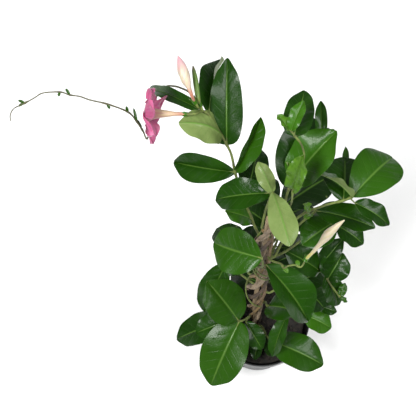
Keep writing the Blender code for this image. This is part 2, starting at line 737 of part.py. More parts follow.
def combine(name, meshes, operation):
    """The first mesh joined with, or cut by, all the others, as one object."""
    piece = new_object(name, meshes[0])
    others = bpy.data.collections.new(name + "_operands")
    bpy.context.scene.collection.children.link(others)
    for mesh in meshes[1:]:
        new_object(name + "_operand", mesh, others)
    boolean = piece.modifiers.new("Boolean", "BOOLEAN")
    boolean.operation = operation
    boolean.operand_type = "COLLECTION"
    boolean.collection = others
    boolean.solver = "MANIFOLD"
    bpy.context.view_layer.update()
    evaluated = piece.evaluated_get(bpy.context.evaluated_depsgraph_get())
    result = bpy.data.meshes.new_from_object(evaluated)
    piece.modifiers.clear()
    piece.data = result
    flatten(result)
    drop_scraps(result)
    for operand in list(others.objects):
        bpy.data.objects.remove(operand)
    bpy.data.collections.remove(others)
    return piece


# The bundle

def bundle_centre(height):
    """The middle of the bundle of stems at this height."""
    share = eased((height - SOIL_TOP) / (BUNDLE_SETTLED - SOIL_TOP))
    centre = BUNDLE_FOOT.lerp(BUNDLE_TOP, share)
    centre.z = height
    return centre


def woody_outward(stem, height):
    """The direction from the bundle's middle to the woody stem at this height."""
    turn = max(height - SOIL_TOP, 0.0) / TWIST_PITCH
    angle = math.radians(stem.phase) + math.tau * turn
    return Vector((math.cos(angle), math.sin(angle), 0.0))


def woody_centre(stem, height):
    """The middle of the woody stem at this height."""
    swell = math.exp(-((height - WIDEST_HEIGHT) / WIDEST_REACH) ** 2)
    rise = eased((height - SOIL_TOP) / (BUNDLE_SETTLED - SOIL_TOP))
    spread = USUAL_SPREAD + (WIDEST_SPREAD - USUAL_SPREAD) * swell
    spread = FOOT_SPREAD + (spread - FOOT_SPREAD) * rise
    return bundle_centre(height) + woody_outward(stem, height) * spread


def woody_path(stem):
    """The path of a woody stem: straight in the soil and twisted above it."""
    count = round((stem.top - SOIL_TOP) / TWIST_STEP) + 1
    heights = [SOIL_TOP - STEM_DEPTH] + spread_evenly(SOIL_TOP, stem.top, count)
    return [woody_centre(stem, height) for height in heights]


def woody_radii(stem, count):
    """The radii of a woody stem along its path, larger at its knots."""
    radii = []
    for index in range(count):
        knotted = index > KNOT_EVERY and index % KNOT_EVERY == 0
        radii.append(stem.radius if knotted else stem.radius / KNOT_SWELL)
    return radii


def woody_skin(stem, height):
    """The middle and the radius of a woody stem at this height."""
    path = woody_path(stem)
    radii = woody_radii(stem, len(path))
    for lower, upper, first, last in zip(path, path[1:], radii, radii[1:]):
        if lower.z <= height <= upper.z:
            share = (height - lower.z) / (upper.z - lower.z)
            return lower.lerp(upper, share), first + (last - first) * share
    return path[-1], radii[-1]


def root_of(shoot):
    """Where a shoot starts: against the woody stem that faces its first place."""
    middle = bundle_centre(shoot.root)
    wanted = seen(*shoot.path[0]) - middle
    wanted.z = 0.0
    best = None
    for stem in WOODY_STEMS:
        if stem.top < shoot.root:
            continue
        centre, radius = woody_skin(stem, shoot.root)
        outward = (centre - middle).normalized()
        if best is None or outward.dot(wanted) > best[0]:
            best = (outward.dot(wanted), centre + outward * (radius + GAP), outward)
    start, outward = best[1:]
    return [start, start + outward * ROOT_REACH]


def make_woody_stem(stem):
    """A twisted woody stem, a little thicker at its knots, rooted in the soil."""
    path = woody_path(stem)
    mesh = tube(path, woody_radii(stem, len(path)), WOODY_SIDES)
    return finish(new_object(stem.name, mesh), stem.colour, 0.8)


def make_cane():
    """The cane in the middle of the bundle."""
    heights = spread_evenly(SOIL_TOP - STEM_DEPTH, CANE_TOP, CANE_STEPS)
    path = [bundle_centre(height) for height in heights]
    mesh = tube(path, [CANE_RADIUS] * CANE_STEPS, CANE_SIDES)
    return finish(new_object("cane", mesh), CANE_COLOUR, 0.6)


# The pot and its soil

def make_pot():
    """The pot, hollow, with drain holes in its floor."""
    step_height = POT_HEIGHT - LIP_HEIGHT
    wall_top_radius = RIM_RADIUS - LIP_STEP
    profile = (
        (0.0, 0.0),
        (BASE_RADIUS - POT_EDGE, 0.0),
        (BASE_RADIUS, POT_EDGE),
        (wall_top_radius, step_height),
        (RIM_RADIUS - POT_EDGE / 2, step_height + POT_EDGE / 2),
        (RIM_RADIUS, POT_HEIGHT - POT_EDGE),
        (RIM_RADIUS - POT_EDGE, POT_HEIGHT),
        (RIM_RADIUS - POT_WALL, POT_HEIGHT - POT_EDGE / 2),
        (wall_top_radius - POT_WALL, step_height - POT_EDGE),
        (BASE_RADIUS - POT_WALL, FLOOR_THICKNESS),
        (0.0, FLOOR_THICKNESS),
    )
    meshes = [lathe(profile, POT_SEGMENTS)]
    for hole in range(DRAIN_HOLES):
        angle = math.tau * hole / DRAIN_HOLES
        place = Vector((math.cos(angle), math.sin(angle), 0.0)) * DRAIN_CIRCLE_RADIUS
        below = place - Vector((0.0, 0.0, CUT_MARGIN))
        above = place + Vector((0.0, 0.0, FLOOR_THICKNESS + CUT_MARGIN))
        meshes.append(tube([below, above], [DRAIN_HOLE_RADIUS] * 2, HOLE_SIDES))
    return finish(combine("pot", meshes, "DIFFERENCE"), POT_COLOUR, 0.45)


def make_soil():
    """The soil, a little higher in the middle, with a plain hole for each stem and the cane."""
    floor = FLOOR_THICKNESS + GAP
    floor_radius = BASE_RADIUS - POT_WALL - GAP
    step_height = POT_HEIGHT - LIP_HEIGHT
    step_radius = RIM_RADIUS - LIP_STEP - POT_WALL - GAP
    edge = SOIL_TOP - SOIL_CROWN
    shoulder = edge - SOIL_EDGE_CHAMFER
    slope = (step_radius - floor_radius) / (step_height - POT_EDGE - FLOOR_THICKNESS)
    shoulder_radius = floor_radius + slope * (shoulder - floor)
    profile = (
        (0.0, floor),
        (floor_radius, floor),
        (shoulder_radius, shoulder),
        (shoulder_radius - SOIL_EDGE_CHAMFER, edge),
        (SOIL_CROWN_RADIUS, SOIL_TOP - SOIL_CROWN_DROP),
        (0.0, SOIL_TOP),
    )
    meshes = [lathe(profile, POT_SEGMENTS)]
    deep = SOIL_TOP - STEM_DEPTH - HOLE_CLEARANCE
    shafts = [(woody_centre(stem, deep), stem.radius) for stem in WOODY_STEMS]
    shafts.append((bundle_centre(deep), CANE_RADIUS))
    for foot, radius in shafts:
        head = foot.copy()
        head.z = SOIL_TOP + CUT_MARGIN
        meshes.append(tube([foot, head], [radius + HOLE_CLEARANCE] * 2, HOLE_SIDES))
    return finish(combine("soil", meshes, "DIFFERENCE"), SOIL_COLOUR, 0.95)


# Shoots, flower and buds

def shoot_curve(name):
    """The curve of a shoot's stem, from the bundle out."""
    shoot = next(each for each in SHOOTS if each.name == name)
    start, clear = root_of(shoot)
    points = [clear] + [seen(*place) for place in shoot.path]
    return [start] + smooth_path(points, 1 if shoot.inner else POINTS_PER_SPAN)


def past_end(stalk):
    """The place just past the end of a stalk, and the direction in which the stalk ends."""
    ahead = (stalk[-1] - stalk[-2]).normalized()
    return stalk[-1] + ahead * END_GAP, ahead


def grown_from(curve, radii, places):
    """The path of a piece that starts against the side of a stem."""
    path = [seen(*place) for place in places]
    host = nearest(curve, path[0])
    outward = (path[0] - host).normalized()
    return [host + outward * (radii[curve.index(host)] + GAP)] + path


def stalk_path(places):
    """The path of a stalk, through the places where it is seen."""
    return [seen(*place) for place in places]


def flower_stalks():
    """The three stalks that carry the flower and two buds, each ending in its calyx."""
    radii = (STALK_RADIUS, STALK_RADIUS, CALYX_RADIUS)
    stalks = (FLOWER_STALK, PINK_BUD_STALK, GREEN_BUD_STALK)
    return [tube(stalk_path(places), radii, STALK_SIDES) for places in stalks]


def tapered(radius, curve):
    """The radii of a green stem along its curve."""
    return spread_evenly(radius, radius * STEM_TAPER, len(curve))


def make_shoot(shoot):
    """A green stem with its leaves, fused into one body."""
    curve = shoot_curve(shoot.name)
    radii = tapered(shoot.radius, curve)
    meshes = [tube(curve, radii, STEM_SIDES)]
    for leaf in shoot.leaves:
        meshes.append(leaf_mesh(leaf, curve, shoot.inner))
    if shoot.name == "left_flowering_shoot":
        meshes += flower_stalks()
    return finish(combine(shoot.name, meshes, "UNION"), shoot.colour, 0.35, 50.0)


def make_long_shoot():
    """The thin shoot that reaches far out to the left, with its tiny bracts."""
    host = shoot_curve("left_flowering_shoot")
    curve = grown_from(host, tapered(STEM_RADIUS, host), LONG_SHOOT)
    radii = spread_evenly(LONG_SHOOT_FOOT_RADIUS, LONG_SHOOT_TIP_RADIUS, len(curve))
    meshes = [tube(curve, radii, STEM_SIDES)]
    for bract in BRACTS:
        surface = leaf_surface(bract, nearest(curve, seen(*bract.foot)))
        meshes.append(thick_sheet(surface, BRACT_STATIONS, NARROW_STATIONS, BRACT_THICKNESS))
    return finish(combine("long_shoot", meshes, "UNION"), LONG_SHOOT_COLOUR, 0.6)


def make_flower():
    """The corolla: a hollow trumpet and five broad lobes bent back round its mouth."""
    base = past_end(stalk_path(FLOWER_STALK))[0]
    axis = seen(*FLOWER_FACE) - base
    length = axis.length
    axis.normalize()
    turn = Vector((0.0, 0.0, 1.0)).rotation_difference(axis).to_matrix().to_4x4()
    placing = Matrix.Translation(base) @ turn
    outer = [(TUBE_RADIUS * scale, share * length) for share, scale in TRUMPET_SHAPE]
    inner = [(radius - PETAL_WALL, height) for radius, height in reversed(outer)
             if height >= HOLLOW_FROM * length]
    profile = [(0.0, 0.0)] + outer + inner + [(0.0, inner[-1][1] - PETAL_WALL)]
    trumpet = lathe(profile, TRUMPET_SEGMENTS)
    meshes = [trumpet]
    for lobe in range(LOBES):
        spin = Matrix.Rotation(math.tau * lobe / LOBES, 3, "Z")

        def surface(along, across, spin=spin):
            reach = THROAT_RADIUS - PETAL_WALL + (LOBE_REACH - THROAT_RADIUS) * along
            half = LOBE_WIDTH / 2 * lobe_outline(along) * across
            back = length - PETAL_WALL / 2 - LOBE_BACK * math.sin(math.pi * along * 0.8)
            slant = half * math.tan(math.radians(LOBE_TWIST)) * eased(along * 2.5)
            ripple = LOBE_RIPPLE * math.sin(5.0 * across + 2.0 * along) * eased(along * 2.0)
            return spin @ Vector((reach, half, back + slant + ripple))

        meshes.append(thick_sheet(surface, LOBE_STATIONS, BROAD_STATIONS, PETAL_WALL))
    for mesh in meshes:
        bmesh.ops.transform(mesh, matrix=placing, verts=mesh.verts)
    return finish(combine("flower", meshes, "UNION"), FLOWER_COLOUR, 0.5)


def make_bud(name, stalk, places, radii, colour):
    """A closed bud: a spindle on its narrow tube, at the end of its stalk."""
    start, ahead = past_end(stalk)
    curve = [start, start + ahead * BUD_REACH] + [seen(*place) for place in places]
    return finish(new_object(name, tube(curve, radii, BUD_SIDES)), colour, 0.5, 60.0)


def make_all():
    for leftover in list(bpy.data.objects):
        bpy.data.objects.remove(leftover)
    plant = bpy.data.objects.new("mandevilla", None)
    bpy.context.scene.collection.objects.link(plant)
    make_pot()
    make_soil()
    make_cane()
    for stem in WOODY_STEMS:
        make_woody_stem(stem)
    for shoot in SHOOTS:
        make_shoot(shoot)
    make_long_shoot()
    make_flower()
    make_bud("pink_bud", stalk_path(PINK_BUD_STALK), PINK_BUD, PINK_BUD_RADII, PINK_BUD_COLOUR)
    make_bud("green_bud", stalk_path(GREEN_BUD_STALK), GREEN_BUD, GREEN_BUD_RADII, GREEN)
    make_bud("cream_bud", shoot_curve("cream_bud_stalk"), CREAM_BUD, CREAM_BUD_RADII,
             CREAM_BUD_COLOUR)


make_all()
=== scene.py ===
"""A mandevilla that twines up a cane in its nursery pot, dressed round its fixed frame.

Units are metres and +Z is up. The origin is the middle of the pot's underside.
+X is the picture's right and +Y leads away from the viewer.

Leaves, stems and flowers are placed as (u, v, height): the pixel where the picture shows the
point, in its 416 x 416 frame, and the point's height above the pot's underside. The function
seen() turns the three into a place in metres, from the viewpoint given below.
"""

import json
import math
import random
from collections import namedtuple

import bmesh
import bpy
from bpy.props import FloatProperty, FloatVectorProperty, IntProperty, PointerProperty
from mathutils import Matrix, Vector, noise

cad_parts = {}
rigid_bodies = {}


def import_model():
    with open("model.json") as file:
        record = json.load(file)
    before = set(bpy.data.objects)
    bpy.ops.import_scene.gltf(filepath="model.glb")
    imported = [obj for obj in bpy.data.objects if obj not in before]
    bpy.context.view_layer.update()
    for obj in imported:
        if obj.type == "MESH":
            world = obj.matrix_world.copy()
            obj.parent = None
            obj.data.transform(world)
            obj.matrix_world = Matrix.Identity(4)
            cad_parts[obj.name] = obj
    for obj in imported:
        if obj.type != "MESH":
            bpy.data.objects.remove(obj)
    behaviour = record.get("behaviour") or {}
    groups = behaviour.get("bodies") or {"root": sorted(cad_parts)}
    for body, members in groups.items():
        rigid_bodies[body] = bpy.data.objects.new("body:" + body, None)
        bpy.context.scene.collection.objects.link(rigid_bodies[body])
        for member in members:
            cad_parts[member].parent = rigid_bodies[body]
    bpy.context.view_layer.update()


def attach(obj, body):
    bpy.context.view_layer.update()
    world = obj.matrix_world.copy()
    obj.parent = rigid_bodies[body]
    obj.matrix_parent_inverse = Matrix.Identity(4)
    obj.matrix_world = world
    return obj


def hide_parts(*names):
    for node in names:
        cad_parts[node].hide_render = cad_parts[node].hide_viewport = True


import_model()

bl_info = {
    "name": "Mandevilla in its pot",
    "version": (1, 0, 0),
    "blender": (4, 5, 0),
    "location": "3D View > Sidebar > Mandevilla",
    "description": "Builds the leaves, flower, stems and pot of a mandevilla",
    "category": "Object",
}

# The viewpoint of the picture
EYE = Vector((-0.071, -0.328, 1.381))
VIEW_ELEVATION = math.radians(69.0)
FOCAL_PIXELS = 970.0
PICTURE_WIDTH = 416.0
PICTURE_MIDDLE = 208.0
SENSOR_WIDTH = 36.0

# Pot and soil
FLOOR_THICKNESS = 0.0030
POT_EDGE = 0.0008
DRAIN_HOLES = 6
DRAIN_HOLE_RADIUS = 0.004
DRAIN_CIRCLE_RADIUS = 0.028
POT_SEGMENTS = 96
CUTTER_SIDES = 32
WALL_STEPS = 60
WALL_RINGS = 5.0
WALL_RING_HEIGHT = 0.00035
SOIL_TOP = 0.1035
SOIL_CROWN = 0.0030
SOIL_RADIUS = 0.0585
SOIL_RINGS = 26
SOIL_SEGMENTS = 84
SOIL_LUMP = 0.0012
SOIL_SEED = 21

# Under its edge the soil steps in by the first of these and down by the second
SOIL_SHOULDER = (0.001, 0.012)

# Crumbs: how far they stay from the edge, how uneven they are, and the share of pale ones
CRUMB_MARGIN = 0.0035
CRUMB_BUMPS = 0.55
PALE_CRUMBS = 0.02

# The rolled lip's outer and inner side: how far each point stands out of that side, and how far
# below the top
OUTER_LIP = ((0.0, 0.0030), (0.0003, 0.0022), (0.0004, 0.0012), (0.0, 0.0004))
INNER_LIP = ((0.0, 0.0003), (-0.0003, 0.0012), (0.0, 0.0030))

# Clearance between pieces that touch, and between the ends of two that follow each other
GAP = 0.0003
END_GAP = 0.0004

# How far a cutter passes the floor on each side
CUT_MARGIN = 0.002

# The angle in degrees from which the edges of a piece stay sharp
USUAL_SHARPNESS = 60.0
POT_SHARPNESS = 35.0
SOIL_SHARPNESS = 80.0
PETAL_SHARPNESS = 70.0

# What the materials read at corners where it makes no difference
PLAIN_PLACE = (0.0, 0.0, 0.0, 0.5)

# Half the distance of the points that give the slope of a sheet, as a share of its length
SLOPE_STEP = 0.004

# The bundle of twisted woody stems round the cane
STEM_DEPTH = 0.045
CANE_TOP = 0.500
CANE_STEPS = 120
CANE_SIDES = 24
CANE_NODE_EVERY = 0.105
CANE_NODE_SWELL = 0.09
CANE_NODE_LENGTH = 0.0014
CANE_END_NARROWING = 0.10
CANE_END_FROM = 0.994
BUNDLE_FOOT = Vector((-0.008, -0.003, 0.0))
BUNDLE_TOP = Vector((-0.012, 0.000, 0.0))
BUNDLE_SETTLED = 0.20
TWIST_PITCH = 0.17
TWIST_STEP = 0.018
FOOT_SPREAD = 0.0062
USUAL_SPREAD = 0.0074
WIDEST_SPREAD = 0.0100
WIDEST_HEIGHT = 0.26
WIDEST_REACH = 0.07
KNOT_EVERY = 3
KNOT_SWELL = 1.22
BARK_STEP = 0.0022
BARK_SIDES = 20
RIDGE_SHARE = 0.7

WoodyStem = namedtuple("WoodyStem", "name radius top phase bark")
WOODY_STEMS = (
    WoodyStem("stem_papery", 0.0027, 0.492, 200.0, "papery_bark"),
    WoodyStem("stem_brown", 0.0022, 0.452, 290.0, "brown_bark"),
    WoodyStem("stem_tan", 0.0020, 0.458, 20.0, "tan_bark"),
    WoodyStem("stem_ochre", 0.0018, 0.446, 110.0, "ochre_bark"),
)

# Strips of loose papery bark: the height, the turn round the stem in degrees, length, width
BARK_STRIPS = (
    (0.395, 150, 0.046, 0.0056), (0.372, 230, 0.032, 0.0037), (0.352, 300, 0.027, 0.0031),
    (0.318, 190, 0.030, 0.0037), (0.290, 250, 0.035, 0.0050), (0.262, 170, 0.027, 0.0037),
    (0.238, 240, 0.032, 0.0031), (0.205, 300, 0.024, 0.0031), (0.180, 200, 0.027, 0.0034),
    (0.150, 260, 0.022, 0.0031), (0.428, 220, 0.030, 0.0037), (0.458, 280, 0.024, 0.0031),
)
# How the strips lie: their lift off the stem, their curl at the top and lift at the foot, their
# ripple, their skew, how far they narrow, and their thickness
STRIP_LIFT = 0.0002
STRIP_CURL = 0.0011
STRIP_FOOT_LIFT = 0.0003
STRIP_RIPPLE = 0.0004
STRIP_SKEW = 0.0010
STRIP_NARROWING = 0.35
STRIP_THICKNESS = 0.00032

# Thin green stems that wind round the bundle: foot and top height, phase, radius
THIN_STEMS = (
    (0.215, 0.405, 300.0, 0.0010), (0.330, 0.470, 40.0, 0.0009), (0.250, 0.420, 160.0, 0.0009),
)
THIN_PITCH = 0.125
THIN_CLEAR = 0.0036
THIN_STEP = 0.004
THIN_SIDES = 8

# Leaves
STALK_WIDTH = 0.0018
SHORTEST_STALK = 0.0020
LEAF_ROUNDNESS = 0.55
POINT_FROM = 0.80
POINT_NARROWING = 0.32
STALK_BLENDS_BY = 0.2
WAVES_ALONG = 2.3
SIDE_VEINS = 7.5
VEIN_SLANT = 0.20
VEIN_SHIFT = 0.30
RELIEF_WIDTH = 0.040
EDGE_THINNING = 0.7
RIB_HEIGHT = 0.0005
RIB_WIDTH = 0.0009
GROOVE_DEPTH = 0.9
GROOVE_SHARPNESS = 9.0
BLADE_ROWS = 34
BLADE_COLUMNS = 17
PLAIN_ROWS = 20
PLAIN_COLUMNS = 11
INNER_ROUGHNESS = 0.06

# The blade's width below which it has fewer faces, below which it has no bulges, and from
# which a round stalk joins it to the stem
PLAIN_BELOW = 0.020
SMOOTH_BELOW = 0.008
STALKED_FROM = 0.009

# The radius of that stalk: the blade's width divided by the first, but at most the second
STALK_SLENDERNESS = 34
WIDEST_STALK = 0.0011

# Green stems
STEM_RADIUS = 0.0015
STEM_TAPER = 0.75
STEM_SPAN_STEPS = 6
STEM_SIDES = 12
ROOT_REACH = 0.004
NODE_SWELL = 0.45
NODE_LENGTH = 0.0022

# A leaf: where its foot and its tip are seen, its real width, the fold of its halves and its
# roll about the midrib, in degrees, its tone from very dark (0) to young and yellow-green (1),
# how far its midrib bows up as a share of its length, the height of its waves, and where along
# it the blade is broadest. The tone is partly the leaf's own colour and age and partly painted
# light and shade: leaves that lie in shade get darker tones and brightly lit ones lighter.
# A leaf without a tone of its own takes the dark tone 0.15. This is painted shade, and the inner
# leaves take it.
Leaf = namedtuple("Leaf", "foot tip width fold roll tone bow wave belly",
                  defaults=(16.0, 0.0, 0.15, 0.08, 0.0014, 0.5))

# A shoot: its name and finish, the height where it leaves the bundle, the places its stem
# passes, its leaves and its stem's radius. Leaves are plainer on an inner shoot, which the
# outer ones hide, and keep the dark default tone: painted shade for the plant's shadowed inside.
Shoot = namedtuple("Shoot", "name slot root path leaves radius inner",
                   defaults=(STEM_RADIUS, False))

SHOOTS = (
    Shoot(
        "left_flowering_shoot", "leaf", 0.385,
        ((257, 231, 0.415), (246, 205, 0.445), (236, 176, 0.480), (232, 157, 0.505),
         (228, 147, 0.518), (219, 131, 0.532), (209, 115, 0.546), (201, 110, 0.552)),
        (
            Leaf((227, 146, 0.544), (179, 123, 0.554), 0.035, 4, 184, 0.62, bow=0.20),
            Leaf((228, 144, 0.522), (227.5, 58, 0.560), 0.034, 16, -6, 0.25, belly=0.38),
            Leaf((209, 112, 0.546), (224, 60, 0.512), 0.030, 52, -34, 0.30),
            Leaf((199, 109, 0.549), (149.5, 89.5, 0.484), 0.0150, 24, -20, 0.45, bow=0.10,
                 belly=0.38),
            Leaf((238, 172, 0.488), (260.5, 117, 0.510), 0.030, 52, 30, 0.60),
            Leaf((235, 174, 0.486), (174, 162, 0.474), 0.036, 34, -32, 0.35, bow=0.10, belly=0.56),
            Leaf((247, 193, 0.455), (258, 148, 0.452), 0.032, 12, 8, 0.20),
            Leaf((249, 213, 0.430), (230, 208, 0.412), 0.026, 14, tone=0.20),
            Leaf((257, 226, 0.438), (225, 211, 0.455), 0.024, 10, -6, 0.66),
        ),
    ),
    Shoot(
        "upper_left_shoot", "leaf", 0.438,
        ((262, 227, 0.450), (265, 213, 0.472), (269, 201, 0.500), (272.5, 192, 0.520)),
        (
            Leaf((270, 193, 0.512), (216, 199.5, 0.478), 0.034, 18, -8, 0.42),
            Leaf((272, 193, 0.528), (290, 246, 0.528), 0.027, 6, 180, 0.62, belly=0.62),
            Leaf((272, 189, 0.526), (258, 162, 0.534), 0.017, 14, 175, 0.60),
        ),
    ),
    Shoot(
        "middle_pair", "leaf", 0.378,
        ((263, 266, 0.394), (262, 261, 0.416), (261.5, 258, 0.429)),
        (
            # This leaf's tone is raised partly as painted light, for the bright highlight on its
            # lower half.
            Leaf((260, 257.5, 0.430), (214, 243, 0.402), 0.050, 10, -32, 0.60),
            Leaf((266, 265, 0.396), (308, 321, 0.352), 0.050, 28, -12, 0.50, belly=0.56),
        ),
    ),
    Shoot(
        "top_twining_shoot", "young_leaf", 0.450,
        ((282, 214, 0.476), (291, 204, 0.512), (293, 190, 0.536), (297, 171, 0.560),
         (304, 158, 0.576), (302, 146, 0.588), (296, 137, 0.597), (291, 131, 0.602)),
        (
            Leaf((290, 130, 0.602), (304, 101, 0.612), 0.014, 20, -10, 0.74),
            Leaf((289, 130, 0.602), (277, 115, 0.606), 0.011, 20, 20, 0.82),
            Leaf((294, 136, 0.588), (304.5, 91, 0.582), 0.028, 12, 0, 0.22, belly=0.36),
            Leaf((297, 198, 0.540), (304, 154, 0.582), 0.020, 22, -8, 0.88, wave=0.0030),
            Leaf((291, 195, 0.532), (286, 162, 0.562), 0.011, 30, 60, 0.95),
        ),
        radius=0.0011,
    ),
    Shoot(
        "top_glossy_shoot", "leaf", 0.425,
        ((275, 224, 0.440), (284, 206, 0.476), (288, 191, 0.499), (297, 176, 0.513),
         (312, 158, 0.522), (322, 141, 0.532)),
        (
            Leaf((283, 189, 0.506), (311, 116, 0.530), 0.048, 14, 4, 0.08),
            Leaf((293, 189, 0.514), (337, 131, 0.556), 0.045, 14, -6, 0.66, wave=0.0020,
                 belly=0.52),
            Leaf((322, 139, 0.536), (321, 101, 0.542), 0.013, 20, -10, 0.52),
            Leaf((324, 139, 0.532), (334, 130, 0.525), 0.011, 10, 10, 0.40),
        ),
    ),
    Shoot(
        "right_shoot", "leaf", 0.408,
        ((283, 230, 0.427), (303, 214, 0.453), (320, 207, 0.466), (333, 203, 0.474),
         (345, 200, 0.480), (352, 197, 0.485)),
        (
            Leaf((353, 195, 0.487), (392, 158, 0.462), 0.050, 10, tone=0.60, bow=0.13, belly=0.56),
            Leaf((343, 201, 0.478), (345, 158, 0.466), 0.048, 14, tone=0.35),
            Leaf((357, 202, 0.492), (318, 174, 0.512), 0.026, 20, 62, 0.62),
            Leaf((355, 203, 0.478), (389, 225, 0.462), 0.024, 14, -10, 0.30),
            Leaf((341, 199, 0.468), (345.5, 147, 0.450), 0.009, 10, 10, 0.70),
            Leaf((308, 213, 0.462), (303, 204, 0.480), 0.013, 25, 10, 0.86),
        ),
    ),
    Shoot(
        "right_inner_shoot", "leaf", 0.386,
        ((284, 240, 0.398), (301, 223, 0.418), (316, 211, 0.436)),
        (
            Leaf((318, 209, 0.440), (375, 228, 0.432), 0.032, 12, -12, 0.42),
            Leaf((310, 214, 0.436), (304, 219, 0.446), 0.011, 20, 10, 0.85),
        ),
    ),
    Shoot(
        "right_low_shoot", "leaf", 0.360,
        ((288, 250, 0.370), (312, 233, 0.384), (334, 223, 0.392)),
        (
            Leaf((333, 223, 0.396), (302, 245, 0.398), 0.038, 10, 4, 0.55),
            Leaf((336, 225, 0.392), (363, 244, 0.380), 0.030, 12, -8, 0.35),
        ),
    ),
    Shoot(
        "cream_bud_stalk", "bud_stalk", 0.405,
        ((275, 262, 0.413), (281, 264, 0.418), (284, 268, 0.421), (288, 266, 0.424),
         (295, 265, 0.426), (301, 267, 0.428), (305, 261, 0.431)),
        (
            Leaf((285, 267, 0.418), (288, 273, 0.418), 0.005, tone=0.85, wave=0.0),
            Leaf((299, 266, 0.425), (297, 260, 0.427), 0.005, tone=0.85, wave=0.0),
        ),
        radius=0.0012,
    ),
    Shoot(
        "right_back_shoot", "leaf", 0.325,
        ((284, 267, 0.322), (305, 268, 0.318), (322, 272, 0.316), (330, 284, 0.312),
         (340, 297, 0.306)),
        (
            Leaf((322, 267, 0.330), (284, 250, 0.350), 0.033, 12, -6, 0.40),
            Leaf((322, 284, 0.322), (343, 253, 0.330), 0.036, 12, 6, 0.35),
            Leaf((324, 248, 0.345), (344, 238, 0.345), 0.022, 12, tone=0.20),
            Leaf((318, 280, 0.308), (338, 305, 0.286), 0.028, 12, -6, 0.42),
            Leaf((341, 297, 0.308), (345, 283, 0.312), 0.010, 6, tone=0.62),
            Leaf((338, 297, 0.304), (347, 302, 0.302), 0.006, 6, tone=0.62),
        ),
    ),
    Shoot(
        "front_right_shoot", "leaf", 0.185,
        ((268, 306, 0.196), (284, 312, 0.204), (301, 313, 0.216), (318, 306, 0.228)),
        (
            Leaf((256, 299, 0.214), (301, 313, 0.232), 0.043, 12, -6, 0.45),
            Leaf((287, 315, 0.196), (273, 356, 0.158), 0.023, 20, 20, 0.48),
            Leaf((304, 315, 0.216), (331, 328, 0.206), 0.032, 10, -6, 0.70),
            Leaf((318, 307, 0.230), (336.5, 312, 0.224), 0.016, 10, tone=0.30),
        ),
    ),
    Shoot(
        "bottom_right_shoot", "leaf", 0.130,
        ((261, 326, 0.138), (266, 335, 0.146), (271, 341, 0.150)),
        (
            Leaf((272, 342, 0.152), (323, 365, 0.138), 0.048, 8, -6, 0.55),
            Leaf((259, 332, 0.136), (255, 360, 0.126), 0.018, 14, 10, 0.15),
            Leaf((264, 336, 0.138), (272, 357, 0.128), 0.016, 14, -10, 0.15),
        ),
    ),
    Shoot(
        "front_left_shoot", "leaf", 0.160,
        ((249, 317, 0.170), (241, 321, 0.180), (231, 320, 0.174)),
        (
            Leaf((238, 320, 0.185), (207, 281, 0.228), 0.054, 10, -4, 0.58),
            Leaf((229.5, 320.5, 0.167), (196, 333, 0.158), 0.034, 12, -6, 0.50),
            Leaf((229, 317, 0.161), (177, 339, 0.131), 0.042, 10, 4, 0.35),
            Leaf((240.5, 326, 0.183), (211, 385, 0.132), 0.060, 10, 4, 0.60, belly=0.46),
            Leaf((246, 322, 0.167), (262, 349, 0.150), 0.026, 10, 10, 0.35),
        ),
    ),
    Shoot(
        "left_back_shoot", "leaf", 0.218,
        ((248, 280, 0.222), (236, 270, 0.226), (227, 263, 0.228)),
        (
            Leaf((226, 264, 0.226), (205, 312, 0.166), 0.039, 10, 4, 0.50),
            Leaf((237, 268, 0.226), (228, 240, 0.212), 0.034, 10, tone=0.20),
        ),
    ),
    # The inner shoots fill the plant's inside, which lies in shadow, with leaves of the dark
    # default tone: painted shade.
    Shoot(
        "back_high_shoot", "inner_leaf", 0.340,
        ((268, 243, 0.350), (271, 226, 0.358), (274, 208, 0.366)),
        (
            Leaf((270, 226, 0.352), (238, 205, 0.322), 0.038),
            Leaf((273, 222, 0.356), (306, 208, 0.334), 0.038),
            Leaf((272, 207, 0.366), (258, 178, 0.342), 0.036),
            Leaf((284, 206, 0.366), (329, 177, 0.350), 0.050),
        ),
        inner=True,
    ),
    Shoot(
        "back_middle_shoot", "inner_leaf", 0.270,
        ((269, 262, 0.280), (275, 246, 0.288), (283, 228, 0.292)),
        (
            Leaf((272, 250, 0.284), (238, 236, 0.256), 0.040),
            Leaf((278, 247, 0.286), (318, 256, 0.262), 0.040),
            Leaf((281, 228, 0.294), (262, 203, 0.272), 0.036),
            Leaf((286, 228, 0.292), (318, 212, 0.270), 0.040),
        ),
        inner=True,
    ),
    Shoot(
        "back_low_shoot", "inner_leaf", 0.170,
        ((262, 292, 0.184), (266, 278, 0.196), (272, 264, 0.204)),
        (
            Leaf((262, 284, 0.186), (232, 274, 0.162), 0.040),
            Leaf((269, 282, 0.190), (304, 282, 0.166), 0.042),
            Leaf((270, 264, 0.206), (250, 244, 0.186), 0.038),
            Leaf((275, 264, 0.206), (305, 252, 0.186), 0.040),
        ),
        inner=True,
    ),
    Shoot(
        "right_side_shoot", "inner_leaf", 0.255,
        ((284, 286, 0.262), (300, 284, 0.268)),
        (
            Leaf((296, 284, 0.266), (330, 268, 0.246), 0.040),
            Leaf((302, 286, 0.264), (324, 308, 0.244), 0.036),
        ),
        inner=True,
    ),
    Shoot(
        "left_side_shoot", "inner_leaf", 0.288,
        ((250, 266, 0.298), (242, 254, 0.306)),
        (
            Leaf((240, 252, 0.308), (218, 228, 0.286), 0.038),
            Leaf((246, 256, 0.302), (226, 268, 0.282), 0.034),
        ),
        inner=True,
    ),
)

